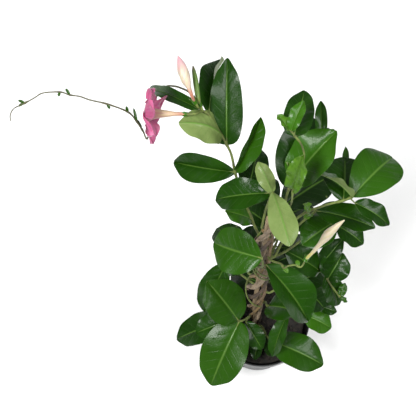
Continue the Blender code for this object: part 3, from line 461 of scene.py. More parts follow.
# The stalks at the end of the left flowering shoot, each thickened to a calyx at its end
STALK_RADIUS = 0.0010
CALYX_RADIUS = 0.0018
SEPALS = 5
SEPAL_THICKNESS = 0.00036
STALKS = {
    "flower": ((202, 111, 0.552), (196, 113.6, 0.5632), (187, 114, 0.560)),
    "pink_bud": ((201, 110, 0.552), (198, 107, 0.560), (195.5, 103, 0.563)),
    "green_bud": ((203, 111, 0.552), (202, 109, 0.5535), (200.5, 106, 0.555)),
}

# What a shoot bears, with the radius and the length of the sepals at its foot
BORNE = {
    "left_flowering_shoot": (("flower", 0.0016, 0.0045), ("pink_bud", 0.0019, 0.0080),
                             ("green_bud", 0.0018, 0.0070)),
    "cream_bud_stalk": (("cream_bud", 0.0021, 0.0080),),
}

# The flower: a trumpet with five lobes, seen from its side
FLOWER_FACE = (146.5, 113.5, 0.5520)
TUBE_RADIUS = 0.0016
THROAT_RADIUS = 0.0088
TRUMPET_SHAPE = ((0.0, 1.0), (0.30, 1.25), (0.50, 2.1), (0.75, 2.9), (0.92, 4.2), (1.0, 5.5))
TRUMPET_STEPS = 40
TRUMPET_SEGMENTS = 60
HOLLOW_FROM = 0.50

# Each lobe's reach and width against the usual one, how far its end leans to the mouth, and
# its twist in degrees
LobeForm = namedtuple("LobeForm", "reach width lean twist")
LOBE_FORMS = (
    LobeForm(0.95, 1.00, -0.0045, 14.0), LobeForm(0.96, 1.00, 0.0020, 8.0),
    LobeForm(1.00, 1.00, -0.0020, 14.0), LobeForm(1.24, 0.40, 0.0010, 18.0),
    LobeForm(1.30, 0.36, -0.0080, 24.0),
)
LOBE_REACH = 0.0255
LOBE_BACK = 0.0060
LOBE_DENT = 0.0006
LOBE_CURLS = (0.0034, 0.0050)
LOBE_SEED = 40

# Buds: the places that each passes after the end of its stalk; its radii, the first two at that
# end and at BUD_REACH past it; the settings that colour its foot, middle, end and veins, and
# their group; where along it the colours change; and the turns of its petals
Bud = namedtuple("Bud", "name places radii group colours first second twist")
BUD_REACH = 0.0015
BUD_RIDGES = 5.0
BUD_RIDGE_HEIGHT = 0.085
BUD_SIDES = 40
BUDS = (
    Bud("pink_bud",
        ((192, 96, 0.573), (189, 88, 0.578), (186, 80, 0.582), (183, 71, 0.585),
         (180.5, 63, 0.587), (178, 56, 0.588)),
        (0.0011, 0.0014, 0.0016, 0.0022, 0.0045, 0.0050, 0.0034, 0.0006), "mandevilla_flower",
        ("salmon", "bud_cream", "bud_pink", "bud_pink"), 0.34, 0.78, -0.8),
    Bud("green_bud",
        ((198, 98, 0.562), (196, 84, 0.566), (194, 72, 0.569), (193, 66, 0.570)),
        (0.0010, 0.0012, 0.0022, 0.0026, 0.0020, 0.0006), "mandevilla_leaves",
        ("stem", "young", "tendril", "tendril"), 0.2, 0.85, -0.4),
    Bud("cream_bud",
        ((308, 257, 0.436), (313, 252, 0.443), (321, 243, 0.454), (328, 234.5, 0.463),
         (337, 226, 0.472), (344.5, 220, 0.478)),
        (0.0011, 0.0014, 0.0016, 0.0018, 0.0028, 0.0047, 0.0028, 0.0006), "mandevilla_flower",
        ("bud_yellow", "bud_cream", "bud_cream", "bud_yellow"), 0.22, 0.7, -0.9),
)

# The long shoot that reaches out to the left
LONG_SHOOT = (
    (198.5, 112.5, 0.543), (196, 108, 0.530), (193, 97.5, 0.523), (189, 92, 0.521),
    (182, 88.5, 0.520), (175, 86.3, 0.517), (166, 86.5, 0.512), (158, 93, 0.503),
    (153.5, 110, 0.494), (150, 127, 0.495), (147, 139, 0.500), (143, 131, 0.508),
    (137, 122, 0.516), (128, 112, 0.520), (107, 104, 0.526), (90, 100, 0.528),
    (80, 96.5, 0.529), (70, 95, 0.530), (60, 92, 0.530), (43, 93, 0.530),
    (35, 97.5, 0.529), (25, 103, 0.527), (14, 108.5, 0.524), (10.3, 115, 0.521),
    (10.8, 121, 0.519),
)
LONG_SHOOT_FOOT_RADIUS = 0.0011
LONG_SHOOT_TIP_RADIUS = 0.0005
LONG_SHOOT_SIDES = 10
BRACT_THICKNESS = 0.0004
BRACTS = (
    Leaf((137, 122, 0.516), (133.5, 108, 0.522), 0.003, wave=0.0),
    Leaf((142, 129.5, 0.511), (136.5, 119, 0.514), 0.003, wave=0.0),
    Leaf((128.5, 112.5, 0.520), (126, 106, 0.524), 0.003, wave=0.0),
    Leaf((107, 104, 0.526), (110, 109, 0.524), 0.003, wave=0.0),
    Leaf((70.5, 95, 0.530), (65.5, 88.5, 0.532), 0.003, wave=0.0),
    Leaf((60.5, 92.1, 0.530), (58.5, 96.5, 0.528), 0.003, wave=0.0),
    Leaf((25, 103, 0.527), (18, 100.5, 0.529), 0.003, wave=0.0),
    Leaf((25, 103, 0.527), (18.5, 106.5, 0.524), 0.003, wave=0.0),
)

# The finish of the leaves: sizes of its patterns, in cycles per metre, and strengths
PATCH_SCALE = 38.0
SPECK_SCALE = 260.0
CELL_SCALE = 520.0
SIDE_VEIN_STRENGTH = 0.07
MOTTLED_VEIN_STRENGTH = 0.5
MIDRIB_STRENGTH = 0.62

# Streaked finishes: how dark the streaks and the cracks are against the light colour, the size
# of the pattern, in cycles per metre, and the strength and depth of the bumps
Streaks = namedtuple("Streaks", "dark crack scale bump depth")
BARK_STREAKS = Streaks(0.42, 0.16, 620.0, 0.8, 0.0006)
CANE_STREAKS = Streaks(0.62, 0.35, 380.0, 0.35, 0.0003)
TENDRIL_STREAKS = Streaks(0.55, 0.3, 500.0, 0.3, 0.0003)

# The stage: the floor's half width, what the lamps aim at, and each lamp's place and size
FLOOR_REACH = 4.0
LAMP_AIM = Vector((0.0, 0.0, 0.35))
LAMPS = {
    "key": ((-0.70, -0.55, 1.80), 0.6),
    "fill": ((0.90, -0.30, 1.90), 0.9),
    "rim": ((-0.30, 1.10, 1.70), 0.5),
}


# Places and curves

def seen(u, v, height):
    """The place at this height that the picture shows at pixel (u, v)."""
    forward = Vector((0.0, math.cos(VIEW_ELEVATION), -math.sin(VIEW_ELEVATION)))
    upward = Vector((0.0, math.sin(VIEW_ELEVATION), math.cos(VIEW_ELEVATION)))
    across = Vector((1.0, 0.0, 0.0))
    ray = (forward + across * ((u - PICTURE_MIDDLE) / FOCAL_PIXELS)
           - upward * ((v - PICTURE_MIDDLE) / FOCAL_PIXELS))
    return EYE + ray * ((height - EYE.z) / ray.z)


def eased(share):
    """A share that starts and ends gently."""
    share = min(max(share, 0.0), 1.0)
    return share * share * (3.0 - 2.0 * share)


def smooth_path(points, per_span):
    """A curve through the points, with per_span steps from each to the next."""
    ends = [points[0] * 2 - points[1]] + list(points) + [points[-1] * 2 - points[-2]]
    curve = []
    for before, start, stop, after in zip(ends, ends[1:], ends[2:], ends[3:]):
        for step in range(per_span):
            t = step / per_span
            curve.append(0.5 * (
                start * 2
                + (stop - before) * t
                + (before * 2 - start * 5 + stop * 4 - after) * t ** 2
                + (start * 3 - before - stop * 3 + after) * t ** 3
            ))
    curve.append(points[-1].copy())
    return curve


def smooth_values(values, per_span):
    """Numbers that pass smoothly through the values, as smooth_path does through points."""
    points = smooth_path([Vector((value, 0.0, 0.0)) for value in values], per_span)
    return [point.x for point in points]


def outward_at(angle):
    """The level direction at this angle."""
    return Vector((math.cos(angle), math.sin(angle), 0.0))


def nearest(curve, place):
    """The point of the curve that lies nearest to the place."""
    return min(curve, key=lambda point: (point - place).length)


def spread_evenly(first, last, count):
    """Values from first to last."""
    return [first + (last - first) * index / (count - 1) for index in range(count)]


def lengths_along(path):
    """How far each point lies from the first, along the path."""
    lengths = [0.0]
    for before, after in zip(path, path[1:]):
        lengths.append(lengths[-1] + (after - before).length)
    return lengths


# Skins

class Skin:
    """The corners and faces of a piece while it is built.

    Each corner keeps its place on its own part, as (along, across, under side or not, tone),
    for the materials to read.
    """

    def __init__(self):
        self.corners = []
        self.places = []
        self.faces = []
        self.finishes = []

    def corner(self, point, place):
        """Adds a corner and returns its number."""
        self.corners.append(tuple(point))
        self.places.append(place)
        return len(self.corners) - 1

    def face(self, corners, finish=0):
        """A face, unless too few of its corners differ."""
        kept = list(dict.fromkeys(corners))
        if len(kept) > 2:
            self.faces.append(kept)
            self.finishes.append(finish)


def add_tube(skin, path, radii, sides, tone=0.5, finish=0, swell=None):
    """A closed tube along the path; swell(along, around) scales its radius."""
    side = (path[1] - path[0]).orthogonal().normalized()
    lengths = lengths_along(path)
    rings = []
    for index, centre in enumerate(path):
        tangent = path[min(index + 1, len(path) - 1)] - path[max(index - 1, 0)]
        tangent.normalize()
        side = (side - tangent * side.dot(tangent)).normalized()
        other = tangent.cross(side)
        along = lengths[index] / lengths[-1]
        ring = []
        for corner in range(sides):
            around = corner / sides
            angle = math.tau * around
            reach = radii[index] * (swell(along, around) if swell else 1.0)
            offset = (side * math.cos(angle) + other * math.sin(angle)) * reach
            ring.append(skin.corner(centre + offset, (along, around, 0.0, tone)))
        rings.append(ring)
    for lower, upper in zip(rings, rings[1:]):
        for corner in range(sides):
            after = (corner + 1) % sides
            skin.face((lower[corner], lower[after], upper[after], upper[corner]), finish)
    skin.face(rings[0][::-1], finish)
    skin.face(rings[-1], finish)


def add_sheet(skin, surface, alongs, acrosses, heights, tone=0.5, finish=0):
    """A closed sheet over surface(along, across), whose rows close to a point where they meet.

    heights(along, across) gives how far its upper and its under side lie from the middle.
    """
    uppers = []
    unders = []
    for along in alongs:
        upper_row = []
        under_row = []
        at = min(max(along, alongs[0] + SLOPE_STEP), alongs[-1] - SLOPE_STEP)
        first = surface(along, acrosses[0])
        closed = all((surface(along, across) - first).length < 1e-6 for across in acrosses)
        for across in acrosses:
            if closed and upper_row:
                upper_row.append(upper_row[0])
                under_row.append(under_row[0])
                continue
            ahead = surface(at + SLOPE_STEP, across) - surface(at - SLOPE_STEP, across)
            sideways = surface(at, across + SLOPE_STEP) - surface(at, across - SLOPE_STEP)
            normal = sideways.cross(ahead).normalized()
            middle = surface(along, across)
            upper, under = heights(along, across)
            share = across / 2 + 0.5
            upper_row.append(skin.corner(middle + normal * upper, (along, share, 0.0, tone)))
            under_row.append(skin.corner(middle - normal * under, (along, share, 1.0, tone)))
        uppers.append(upper_row)
        unders.append(under_row)
    last_row = len(alongs) - 1
    last_column = len(acrosses) - 1
    for row in range(last_row):
        for column in range(last_column):
            square = ((row, column), (row, column + 1), (row + 1, column + 1), (row + 1, column))
            skin.face([uppers[r][c] for r, c in square], finish)
            skin.face([unders[r][c] for r, c in reversed(square)], finish)
    border = [(0, column) for column in range(last_column)]
    border += [(row, last_column) for row in range(last_row)]
    border += [(last_row, column) for column in range(last_column, 0, -1)]
    border += [(row, 0) for row in range(last_row, 0, -1)]
    for (r, c), (q, d) in zip(border, border[1:] + border[:1]):
        skin.face((unders[r][c], unders[q][d], uppers[q][d], uppers[r][c]), finish)


def add_lathe(skin, profile, segments, place=lambda share: (share, 0.0)):
    """A closed turned body; the profile is (radius, height) from the axis round to the axis.

    place(share) gives how far along its part a corner lies, and whether on its under side.
    """
    rings = []
    for index, (radius, height) in enumerate(profile):
        along, under = place(index / (len(profile) - 1))
        if radius == 0.0:
            tip = skin.corner((0.0, 0.0, height), (along, 0.0, under, 0.5))
            rings.append([tip] * segments)
            continue
        ring = []
        for segment in range(segments):
            angle = math.tau * segment / segments
            point = (radius * math.cos(angle), radius * math.sin(angle), height)
            ring.append(skin.corner(point, (along, segment / segments, under, 0.5)))
        rings.append(ring)
    for ring, following in zip(rings, rings[1:]):
        for segment in range(segments):
            after = (segment + 1) % segments
            skin.face((ring[segment], ring[after], following[after], following[segment]))


# Pieces

def new_piece(name, skin, finishes, sharpness=USUAL_SHARPNESS):
    """An object with the skin's mesh and the materials that its faces name."""
    mesh = bpy.data.meshes.new(name)
    mesh.from_pydata(skin.corners, [], skin.faces)
    for finish in finishes:
        mesh.materials.append(finish)
    mesh.polygons.foreach_set("material_index", skin.finishes)
    places = mesh.attributes.new("place", "FLOAT_COLOR", "POINT")
    places.data.foreach_set("color", [value for place in skin.places for value in place])
    mesh.validate()
    mesh.shade_smooth()
    mesh.set_sharp_from_angle(angle=math.radians(sharpness))
    piece = bpy.data.objects.new(name, mesh)
    bpy.context.scene.collection.objects.link(piece)
    return piece


def settle(piece, slot, *nodes):
    """The piece moves with the plant and stands for the nodes; its slot is not used."""
    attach(piece, "root")
    if nodes:
        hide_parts(*nodes)


def cut(piece, cutters):
    """Cuts the cutters out of the piece."""
    group = bpy.data.collections.new(piece.name + "_cutters")
    bpy.context.scene.collection.children.link(group)
    for skin in cutters:
        cutter = new_piece(piece.name + "_cutter", skin, [])
        bpy.context.scene.collection.objects.unlink(cutter)
        group.objects.link(cutter)
    boolean = piece.modifiers.new("Boolean", "BOOLEAN")
    boolean.operation = "DIFFERENCE"
    boolean.operand_type = "COLLECTION"
    boolean.collection = group
    boolean.solver = "MANIFOLD"
    bpy.context.view_layer.update()
    evaluated = piece.evaluated_get(bpy.context.evaluated_depsgraph_get())
    result = bpy.data.meshes.new_from_object(evaluated)
    piece.modifiers.clear()
    piece.data = result
    for cutter in list(group.objects):
        bpy.data.objects.remove(cutter)
    bpy.data.collections.remove(group)


# Materials: an effect that several share is a node group

class Wiring:
    """Adds nodes to a tree; an input is given as a value or as a socket to link from."""

    def __init__(self, tree):
        self.tree = tree

    def node(self, kind, inputs=(), **settings):
        """A new shader node with these settings and inputs."""
        made = self.tree.nodes.new("ShaderNode" + kind)
        for name, value in settings.items():
            setattr(made, name, value)
        for key, value in dict(inputs).items():
            self.give(made.inputs[key], value)
        return made

    def give(self, socket, value):
        """Sets the socket to the value, or links it from the value's socket."""
        if isinstance(value, bpy.types.NodeSocket):
            self.tree.links.new(value, socket)
        else:
            socket.default_value = value

    def math(self, operation, first, second=0.0, third=0.0, clamp=False):
        """The result of a Math node."""
        made = self.node("Math", operation=operation, use_clamp=clamp)
        for socket, value in zip(made.inputs, (first, second, third)):
            self.give(socket, value)
        return made.outputs[0]

    def mix(self, share, first, second):
        """The first colour where the share is 0 and the second where it is 1."""
        made = self.node("Mix", data_type="RGBA", clamp_factor=True)
        for socket, value in zip((made.inputs[0], made.inputs[6], made.inputs[7]),
                                 (share, first, second)):
            self.give(socket, value)
        return made.outputs[2]

    def ramp(self, value, start, stop):
        """0 below start and 1 above stop, eased between them."""
        made = self.node("MapRange", {"Value": value, "From Min": start, "From Max": stop},
                         interpolation_type="SMOOTHSTEP", clamp=True)
        return made.outputs[0]

    def noise(self, scale, detail, stretch=(1.0, 1.0, 1.0)):
        """Noise in the object's own space."""
        spot = self.node("TexCoord").outputs["Object"]
        mapped = self.node("Mapping", {"Vector": spot, "Scale": stretch})
        made = self.node("TexNoise", {"Vector": mapped.outputs[0], "Scale": scale,
                                      "Detail": detail})
        return made.outputs["Fac"]

    def place(self):
        """The along, across, under side and tone that each corner keeps."""
        kept = self.node("Attribute", attribute_name="place")
        parts = self.node("SeparateColor", {"Color": kept.outputs["Color"]})
        return parts.outputs[0], parts.outputs[1], parts.outputs[2], kept.outputs["Alpha"]


def start_group(name, inputs, outputs):
    """A node group with these sockets, and the two nodes that carry them inside."""
    tree = bpy.data.node_groups.new(name, "ShaderNodeTree")
    for label, kind in inputs:
        tree.interface.new_socket(label, in_out="INPUT", socket_type="NodeSocket" + kind)
    for label, kind in outputs:
        tree.interface.new_socket(label, in_out="OUTPUT", socket_type="NodeSocket" + kind)
    wiring = Wiring(tree)
    given = tree.nodes.new("NodeGroupInput").outputs
    result = tree.nodes.new("NodeGroupOutput").inputs
    return tree, wiring, given, result


def group_once(name, build):
    """The node group of this name, built the first time that it is asked for."""
    return bpy.data.node_groups.get(name) or build(name)


PATTERN_OUTPUTS = (("Colour", "Color"), ("Roughness", "Float"), ("Height", "Float"))


def build_leaf_pattern(name):
    """A leaf's two faces with midrib and side veins, by its place and tone."""
    tree, w, given, result = start_group(name, (
        ("Dark", "Color"), ("Middle", "Color"), ("Bright", "Color"), ("Young", "Color"),
        ("Under", "Color"), ("Vein", "Color"), ("Rough", "Float"),
    ), PATTERN_OUTPUTS)
    along, share, under, tone = w.place()
    signed = w.math("MULTIPLY_ADD", share, 2.0, -1.0)
    across = w.math("ABSOLUTE", signed)
    right = w.math("GREATER_THAN", signed, 0.0)
    slanted = w.math("MULTIPLY_ADD", across, -VEIN_SLANT, along)
    phase = w.math("MULTIPLY_ADD", slanted, SIDE_VEINS, 10.0)
    phase = w.math("MULTIPLY_ADD", right, VEIN_SHIFT, phase)
    off_vein = w.math("ABSOLUTE", w.math("SUBTRACT", w.math("FRACT", phase), 0.5))
    side_vein = w.math("SUBTRACT", 1.0, w.ramp(off_vein, 0.005, 0.06))
    fading = w.math("SUBTRACT", 1.0, w.ramp(across, 0.55, 0.95))
    side_vein = w.math("MULTIPLY", side_vein, fading)
    midrib = w.math("SUBTRACT", 1.0, w.ramp(across, 0.015, 0.075))

    patches = w.noise(PATCH_SCALE, 3.0)
    fine = w.noise(SPECK_SCALE, 4.0)
    colour = w.mix(w.math("MULTIPLY", tone, 2.0), given["Dark"], given["Middle"])
    colour = w.mix(w.math("MULTIPLY_ADD", tone, 4.0, -2.0), colour, given["Bright"])
    colour = w.mix(w.math("MULTIPLY_ADD", tone, 4.0, -3.0), colour, given["Young"])
    lighter = w.math("MULTIPLY_ADD", patches, 1.6, -0.86, clamp=True)
    colour = w.mix(w.math("MULTIPLY", lighter, 0.6), colour, given["Bright"])
    darker = w.math("MULTIPLY_ADD", patches, -1.8, 0.86, clamp=True)
    colour = w.mix(w.math("MULTIPLY", darker, 0.7), colour, given["Dark"])
    mottled = w.math("MULTIPLY_ADD", tone, 5.0, -4.1, clamp=True)
    strength = w.math("MULTIPLY_ADD", mottled, MOTTLED_VEIN_STRENGTH, SIDE_VEIN_STRENGTH)
    colour = w.mix(w.math("MULTIPLY", mottled, w.ramp(fine, 0.50, 0.58)), colour,
                   given["Middle"])
    veins = w.math("MAXIMUM", w.math("MULTIPLY", side_vein, strength),
                   w.math("MULTIPLY", midrib, MIDRIB_STRENGTH))
    colour = w.mix(veins, colour, given["Vein"])
    below = w.mix(w.math("MULTIPLY", fine, 0.35), given["Under"], given["Bright"])
    below = w.mix(w.math("MAXIMUM", w.math("MULTIPLY", side_vein, 0.3), midrib), below,
                  given["Vein"])
    w.give(result["Colour"], w.mix(under, colour, below))

    rough = w.math("MULTIPLY_ADD", patches, 0.22, w.math("SUBTRACT", given["Rough"], 0.11))
    rough = w.math("MULTIPLY_ADD", under, 0.22, rough)
    w.give(result["Roughness"], rough)
    cells = w.node("TexVoronoi", {"Vector": w.node("TexCoord").outputs["Object"],
                                  "Scale": CELL_SCALE}, feature="DISTANCE_TO_EDGE")
    net = w.math("MINIMUM", cells.outputs["Distance"], 0.25)
    relief = w.math("MULTIPLY_ADD", net, 0.9, w.math("MULTIPLY", fine, 0.5))
    sunk = w.math("MULTIPLY", w.math("MAXIMUM", side_vein, midrib), 0.55)
    upside = w.math("MULTIPLY_ADD", under, 2.0, -1.0)
    w.give(result["Height"], w.math("MULTIPLY_ADD", sunk, upside, relief))
    return tree


def build_streak_pattern(name):
    """Long streaks up a stem, in two colours, with cracks."""
    tree, w, given, result = start_group(name, (
        ("Light", "Color"), ("Dark", "Color"), ("Crack", "Color"), ("Scale", "Float"),
    ), PATTERN_OUTPUTS)
    tone = w.place()[3]
    streaks = w.noise(given["Scale"], 6.0, stretch=(1.0, 1.0, 0.14))
    patches = w.noise(70.0, 3.0)
    cracks = w.noise(w.math("MULTIPLY", given["Scale"], 2.2), 3.0, stretch=(1.0, 1.0, 0.08))
    share = w.ramp(w.math("MULTIPLY_ADD", patches, 0.5, w.math("MULTIPLY", streaks, 0.6)),
                   0.38, 0.72)
    crack = w.math("SUBTRACT", 1.0, w.ramp(cracks, 0.30, 0.42))
    colour = w.mix(share, given["Dark"], given["Light"])
    colour = w.mix(w.math("MULTIPLY_ADD", tone, 1.0, -0.5), colour, given["Light"])
    w.give(result["Colour"], w.mix(crack, colour, given["Crack"]))
    w.give(result["Roughness"], w.math("MULTIPLY_ADD", streaks, 0.25, 0.62))
    w.give(result["Height"], w.math("SUBTRACT", streaks, w.math("MULTIPLY", crack, 0.6)))
    return tree


def build_petal_pattern(name):
    """Silky petal skin: three colours from base to end, with fine veins that run out."""
    tree, w, given, result = start_group(name, (
        ("Base", "Color"), ("Middle", "Color"), ("End", "Color"), ("Vein", "Color"),
        ("First", "Float"), ("Second", "Float"), ("Veins", "Float"), ("Twist", "Float"),
    ), PATTERN_OUTPUTS)
    along, share = w.place()[:2]
    patches = w.noise(90.0, 3.0)
    wander = w.math("MULTIPLY_ADD", patches, 0.16, w.math("SUBTRACT", along, 0.08))
    low = w.math("SUBTRACT", given["First"], 0.10)
    high = w.math("ADD", given["First"], 0.10)
    colour = w.mix(w.ramp(wander, low, high), given["Base"], given["Middle"])
    low = w.math("SUBTRACT", given["Second"], 0.14)
    high = w.math("ADD", given["Second"], 0.14)
    colour = w.mix(w.ramp(wander, low, high), colour, given["End"])
    turned = w.math("MULTIPLY_ADD", along, given["Twist"], share)
    phase = w.math("MULTIPLY", turned, given["Veins"])
    off_vein = w.math("ABSOLUTE", w.math("SUBTRACT", w.math("FRACT", phase), 0.5))
    vein = w.math("SUBTRACT", 1.0, w.ramp(off_vein, 0.0, 0.22))
    faint = w.math("MULTIPLY", vein, w.math("MULTIPLY_ADD", patches, 0.6, 0.1))
    w.give(result["Colour"], w.mix(faint, colour, given["Vein"]))
    w.give(result["Roughness"], w.math("MULTIPLY_ADD", patches, 0.2, 0.40))
    fine = w.noise(700.0, 3.0)
    w.give(result["Height"], w.math("MULTIPLY_ADD", vein, -0.5, w.math("MULTIPLY", fine, 0.4)))
    return tree


def build_crumb_pattern(name):
    """Lumpy, mottled ground or moulded plastic, in two colours."""
    tree, w, given, result = start_group(name, (
        ("First", "Color"), ("Second", "Color"), ("Scale", "Float"), ("Rough", "Float"),
    ), PATTERN_OUTPUTS)
    coarse = w.noise(given["Scale"], 6.0)
    fine = w.noise(w.math("MULTIPLY", given["Scale"], 5.0), 3.0)
    tone = w.place()[3]
    share = w.math("MULTIPLY_ADD", w.math("SUBTRACT", tone, 0.5), 1.6, w.ramp(coarse, 0.4, 0.7))
    w.give(result["Colour"], w.mix(share, given["First"], given["Second"]))
    w.give(result["Roughness"], w.math("MULTIPLY_ADD", coarse, 0.2, given["Rough"]))
    w.give(result["Height"], w.math("MULTIPLY_ADD", fine, 0.35, coarse))
    return tree


def patterned(name, build, values, bump, depth, constants=()):
    """A material whose colour, roughness and bump come from a pattern group.

    The values go to the group's inputs and the constants to the shader's. A material of this
    name that is there already is used again.
    """
    made = bpy.data.materials.get(name + "_finish")
    if made:
        return made
    made = bpy.data.materials.new(name + "_finish")
    made.use_nodes = True
    shader = made.node_tree.nodes["Principled BSDF"]
    w = Wiring(made.node_tree)
    pattern = made.node_tree.nodes.new("ShaderNodeGroup")
    pattern.node_tree = group_once(build.__name__.replace("build_", ""), build)
    for key, value in values.items():
        w.give(pattern.inputs[key], (*value, 1.0) if isinstance(value, tuple) else value)
    bumps = w.node("Bump", {"Height": pattern.outputs["Height"], "Strength": bump,
                            "Distance": depth})
    w.give(shader.inputs["Base Color"], pattern.outputs["Colour"])
    w.give(shader.inputs["Roughness"], pattern.outputs["Roughness"])
    w.give(shader.inputs["Normal"], bumps.outputs["Normal"])
    for key, value in dict(constants).items():
        shader.inputs[key].default_value = value
    return made


def leaf_material(name, sizes):
    """The leaf finish, rougher on the inner leaves."""
    colours = ("dark", "middle", "bright", "young", "under", "vein")
    values = {colour.capitalize(): tuple(getattr(sizes, colour)) for colour in colours}
    values["Rough"] = sizes.roughness + (INNER_ROUGHNESS if name == "inner_leaf" else 0.0)
    gloss = {"Coat Weight": 0.10, "Coat Roughness": 0.13, "Specular IOR Level": 0.13}
    return patterned(name, build_leaf_pattern, values, 0.45, 0.0006, gloss)


def shaded(colour, share):
    """The colour, darker or lighter by this share."""
    return tuple(value * share for value in colour)


def streaked(name, light, streaks):
    """A streaked finish of this light colour."""
    values = {"Light": tuple(light), "Dark": shaded(light, streaks.dark),
              "Crack": shaded(light, streaks.crack), "Scale": streaks.scale}
    return patterned(name, build_streak_pattern, values, streaks.bump, streaks.depth)


def green_stem_material(sizes):
    """The finish of the green stems."""
    values = {"Light": tuple(sizes.stem), "Dark": tuple(sizes.stem_shade),
              "Crack": tuple(sizes.stem_shade), "Scale": 420.0}
    return patterned("green_stem", build_streak_pattern, values, 0.3, 0.0003)


# The bundle

def bundle_centre(height):
    """The middle of the bundle of stems at this height."""
    share = eased((height - SOIL_TOP) / (BUNDLE_SETTLED - SOIL_TOP))
    centre = BUNDLE_FOOT.lerp(BUNDLE_TOP, share)
    centre.z = height
    return centre


def spread_at(height):
    """How far the woody stems stand from the bundle's middle at this height."""
    swell = math.exp(-((height - WIDEST_HEIGHT) / WIDEST_REACH) ** 2)
    rise = eased((height - SOIL_TOP) / (BUNDLE_SETTLED - SOIL_TOP))
    spread = USUAL_SPREAD + (WIDEST_SPREAD - USUAL_SPREAD) * swell
    return FOOT_SPREAD + (spread - FOOT_SPREAD) * rise


def woody_centre(stem, height):
    """The middle of the woody stem at this height."""
    turn = max(height - SOIL_TOP, 0.0) / TWIST_PITCH
    angle = math.radians(stem.phase) + math.tau * turn
    return bundle_centre(height) + outward_at(angle) * spread_at(height)


def woody_path(stem):
    """The path of a woody stem: straight in the soil and twisted above it."""
    count = round((stem.top - SOIL_TOP) / TWIST_STEP) + 1
    heights = [SOIL_TOP - STEM_DEPTH] + spread_evenly(SOIL_TOP, stem.top, count)
    return [woody_centre(stem, height) for height in heights]


def woody_radii(stem, count):
    """The radii of a woody stem along its path, larger at its knots."""
    radii = []
    for index in range(count):
        knotted = index > KNOT_EVERY and index % KNOT_EVERY == 0
        radii.append(stem.radius if knotted else stem.radius / KNOT_SWELL)
    return radii


def woody_skin(stem, height):
    """The middle and the radius of a woody stem at this height."""
    path = woody_path(stem)
    radii = woody_radii(stem, len(path))
    for lower, upper, first, last in zip(path, path[1:], radii, radii[1:]):
        if lower.z <= height <= upper.z:
            share = (height - lower.z) / (upper.z - lower.z)
            return lower.lerp(upper, share), first + (last - first) * share
    return path[-1], radii[-1]


def root_of(shoot):
    """Where a shoot starts: against the woody stem that faces its first place."""
    middle = bundle_centre(shoot.root)
    wanted = seen(*shoot.path[0]) - middle
    wanted.z = 0.0
    best = None
    for stem in WOODY_STEMS:
        if stem.top < shoot.root:
            continue
        centre, radius = woody_skin(stem, shoot.root)
        outward = (centre - middle).normalized()
        if best is None or outward.dot(wanted) > best[0]:
            best = (outward.dot(wanted), centre + outward * (radius + GAP), outward)
    start, outward = best[1:]
    return [start, start + outward * ROOT_REACH]


def bark_swell(seed, relief):
    """Ridges that run along a stem and small lumps, as a scale of its radius."""
    def swell(along, around):
        angle = math.tau * around
        spot = Vector((math.cos(angle) * 1.3, math.sin(angle) * 1.3, along * 26.0 + seed))
        ridges = Vector((math.cos(angle) * 3.4, math.sin(angle) * 3.4, along * 6.0 - seed))
        return 1.0 + relief * (noise.noise(spot) + RIDGE_SHARE * noise.noise(ridges))
    return swell


def add_bark_strip(skin, stem, strip):
    """A strip of loose bark that lies on the stem and curls off it at its upper end."""
    height, turn, length, width = strip
    start = math.radians(turn)
    radius = stem.radius + STRIP_LIFT

    def surface(along, across):
        level = height + length * along
        angle = start + across * width / 2 / radius * (1.0 - STRIP_NARROWING * along)
        reach = radius + STRIP_CURL * along ** 3 + STRIP_FOOT_LIFT * (1.0 - along) ** 3
        spot = Vector((along * 4.0, across * 2.0, height * 60.0))
        reach += STRIP_RIPPLE * noise.noise(spot)
        place = woody_centre(stem, level) + outward_at(angle) * reach
        place.z += STRIP_SKEW * math.sin(across * 3.0 + turn) * along
        return place

    add_sheet(skin, surface, spread_evenly(0.0, 1.0, 9), spread_evenly(-1.0, 1.0, 7),
              lambda along, across: (STRIP_THICKNESS / 2, STRIP_THICKNESS / 2), 0.85)


def build_woody_stem(stem, sizes):
    """A twisted woody stem with ridges and knots, and on the papery one its loose strips."""
    path = woody_path(stem)
    fine = round(TWIST_STEP / BARK_STEP)
    radii = smooth_values(woody_radii(stem, len(path)), fine)
    skin = Skin()
    add_tube(skin, smooth_path(path, fine), radii, BARK_SIDES,
             swell=bark_swell(stem.phase, sizes.relief))
    if stem.bark == "papery_bark":
        for strip in BARK_STRIPS:
            add_bark_strip(skin, stem, strip)
    finish = streaked(stem.bark, getattr(sizes, stem.bark), BARK_STREAKS)
    settle(new_piece(stem.name, skin, [finish]), stem.bark, stem.name)


def build_cane(sizes):
    """The straight cane in the middle of the bundle, with a low ring at each of its nodes."""
    foot = SOIL_TOP - STEM_DEPTH
    path = [bundle_centre(height) for height in spread_evenly(foot, CANE_TOP, CANE_STEPS)]

    def swell(along, around):
        level = foot + (CANE_TOP - foot) * along
        off_node = abs((level / CANE_NODE_EVERY) % 1.0 - 0.5) * CANE_NODE_EVERY
        ring = CANE_NODE_SWELL * math.exp(-(off_node / CANE_NODE_LENGTH) ** 2)
        edge = CANE_END_NARROWING * eased((along - CANE_END_FROM) / (1.0 - CANE_END_FROM))
        return 1.0 + ring - edge

    skin = Skin()
    add_tube(skin, path, [sizes.cane_radius] * CANE_STEPS, CANE_SIDES, swell=swell)
    finish = streaked("cane", sizes.cane, CANE_STREAKS)
    settle(new_piece("cane_dressed", skin, [finish]), "cane", "cane")


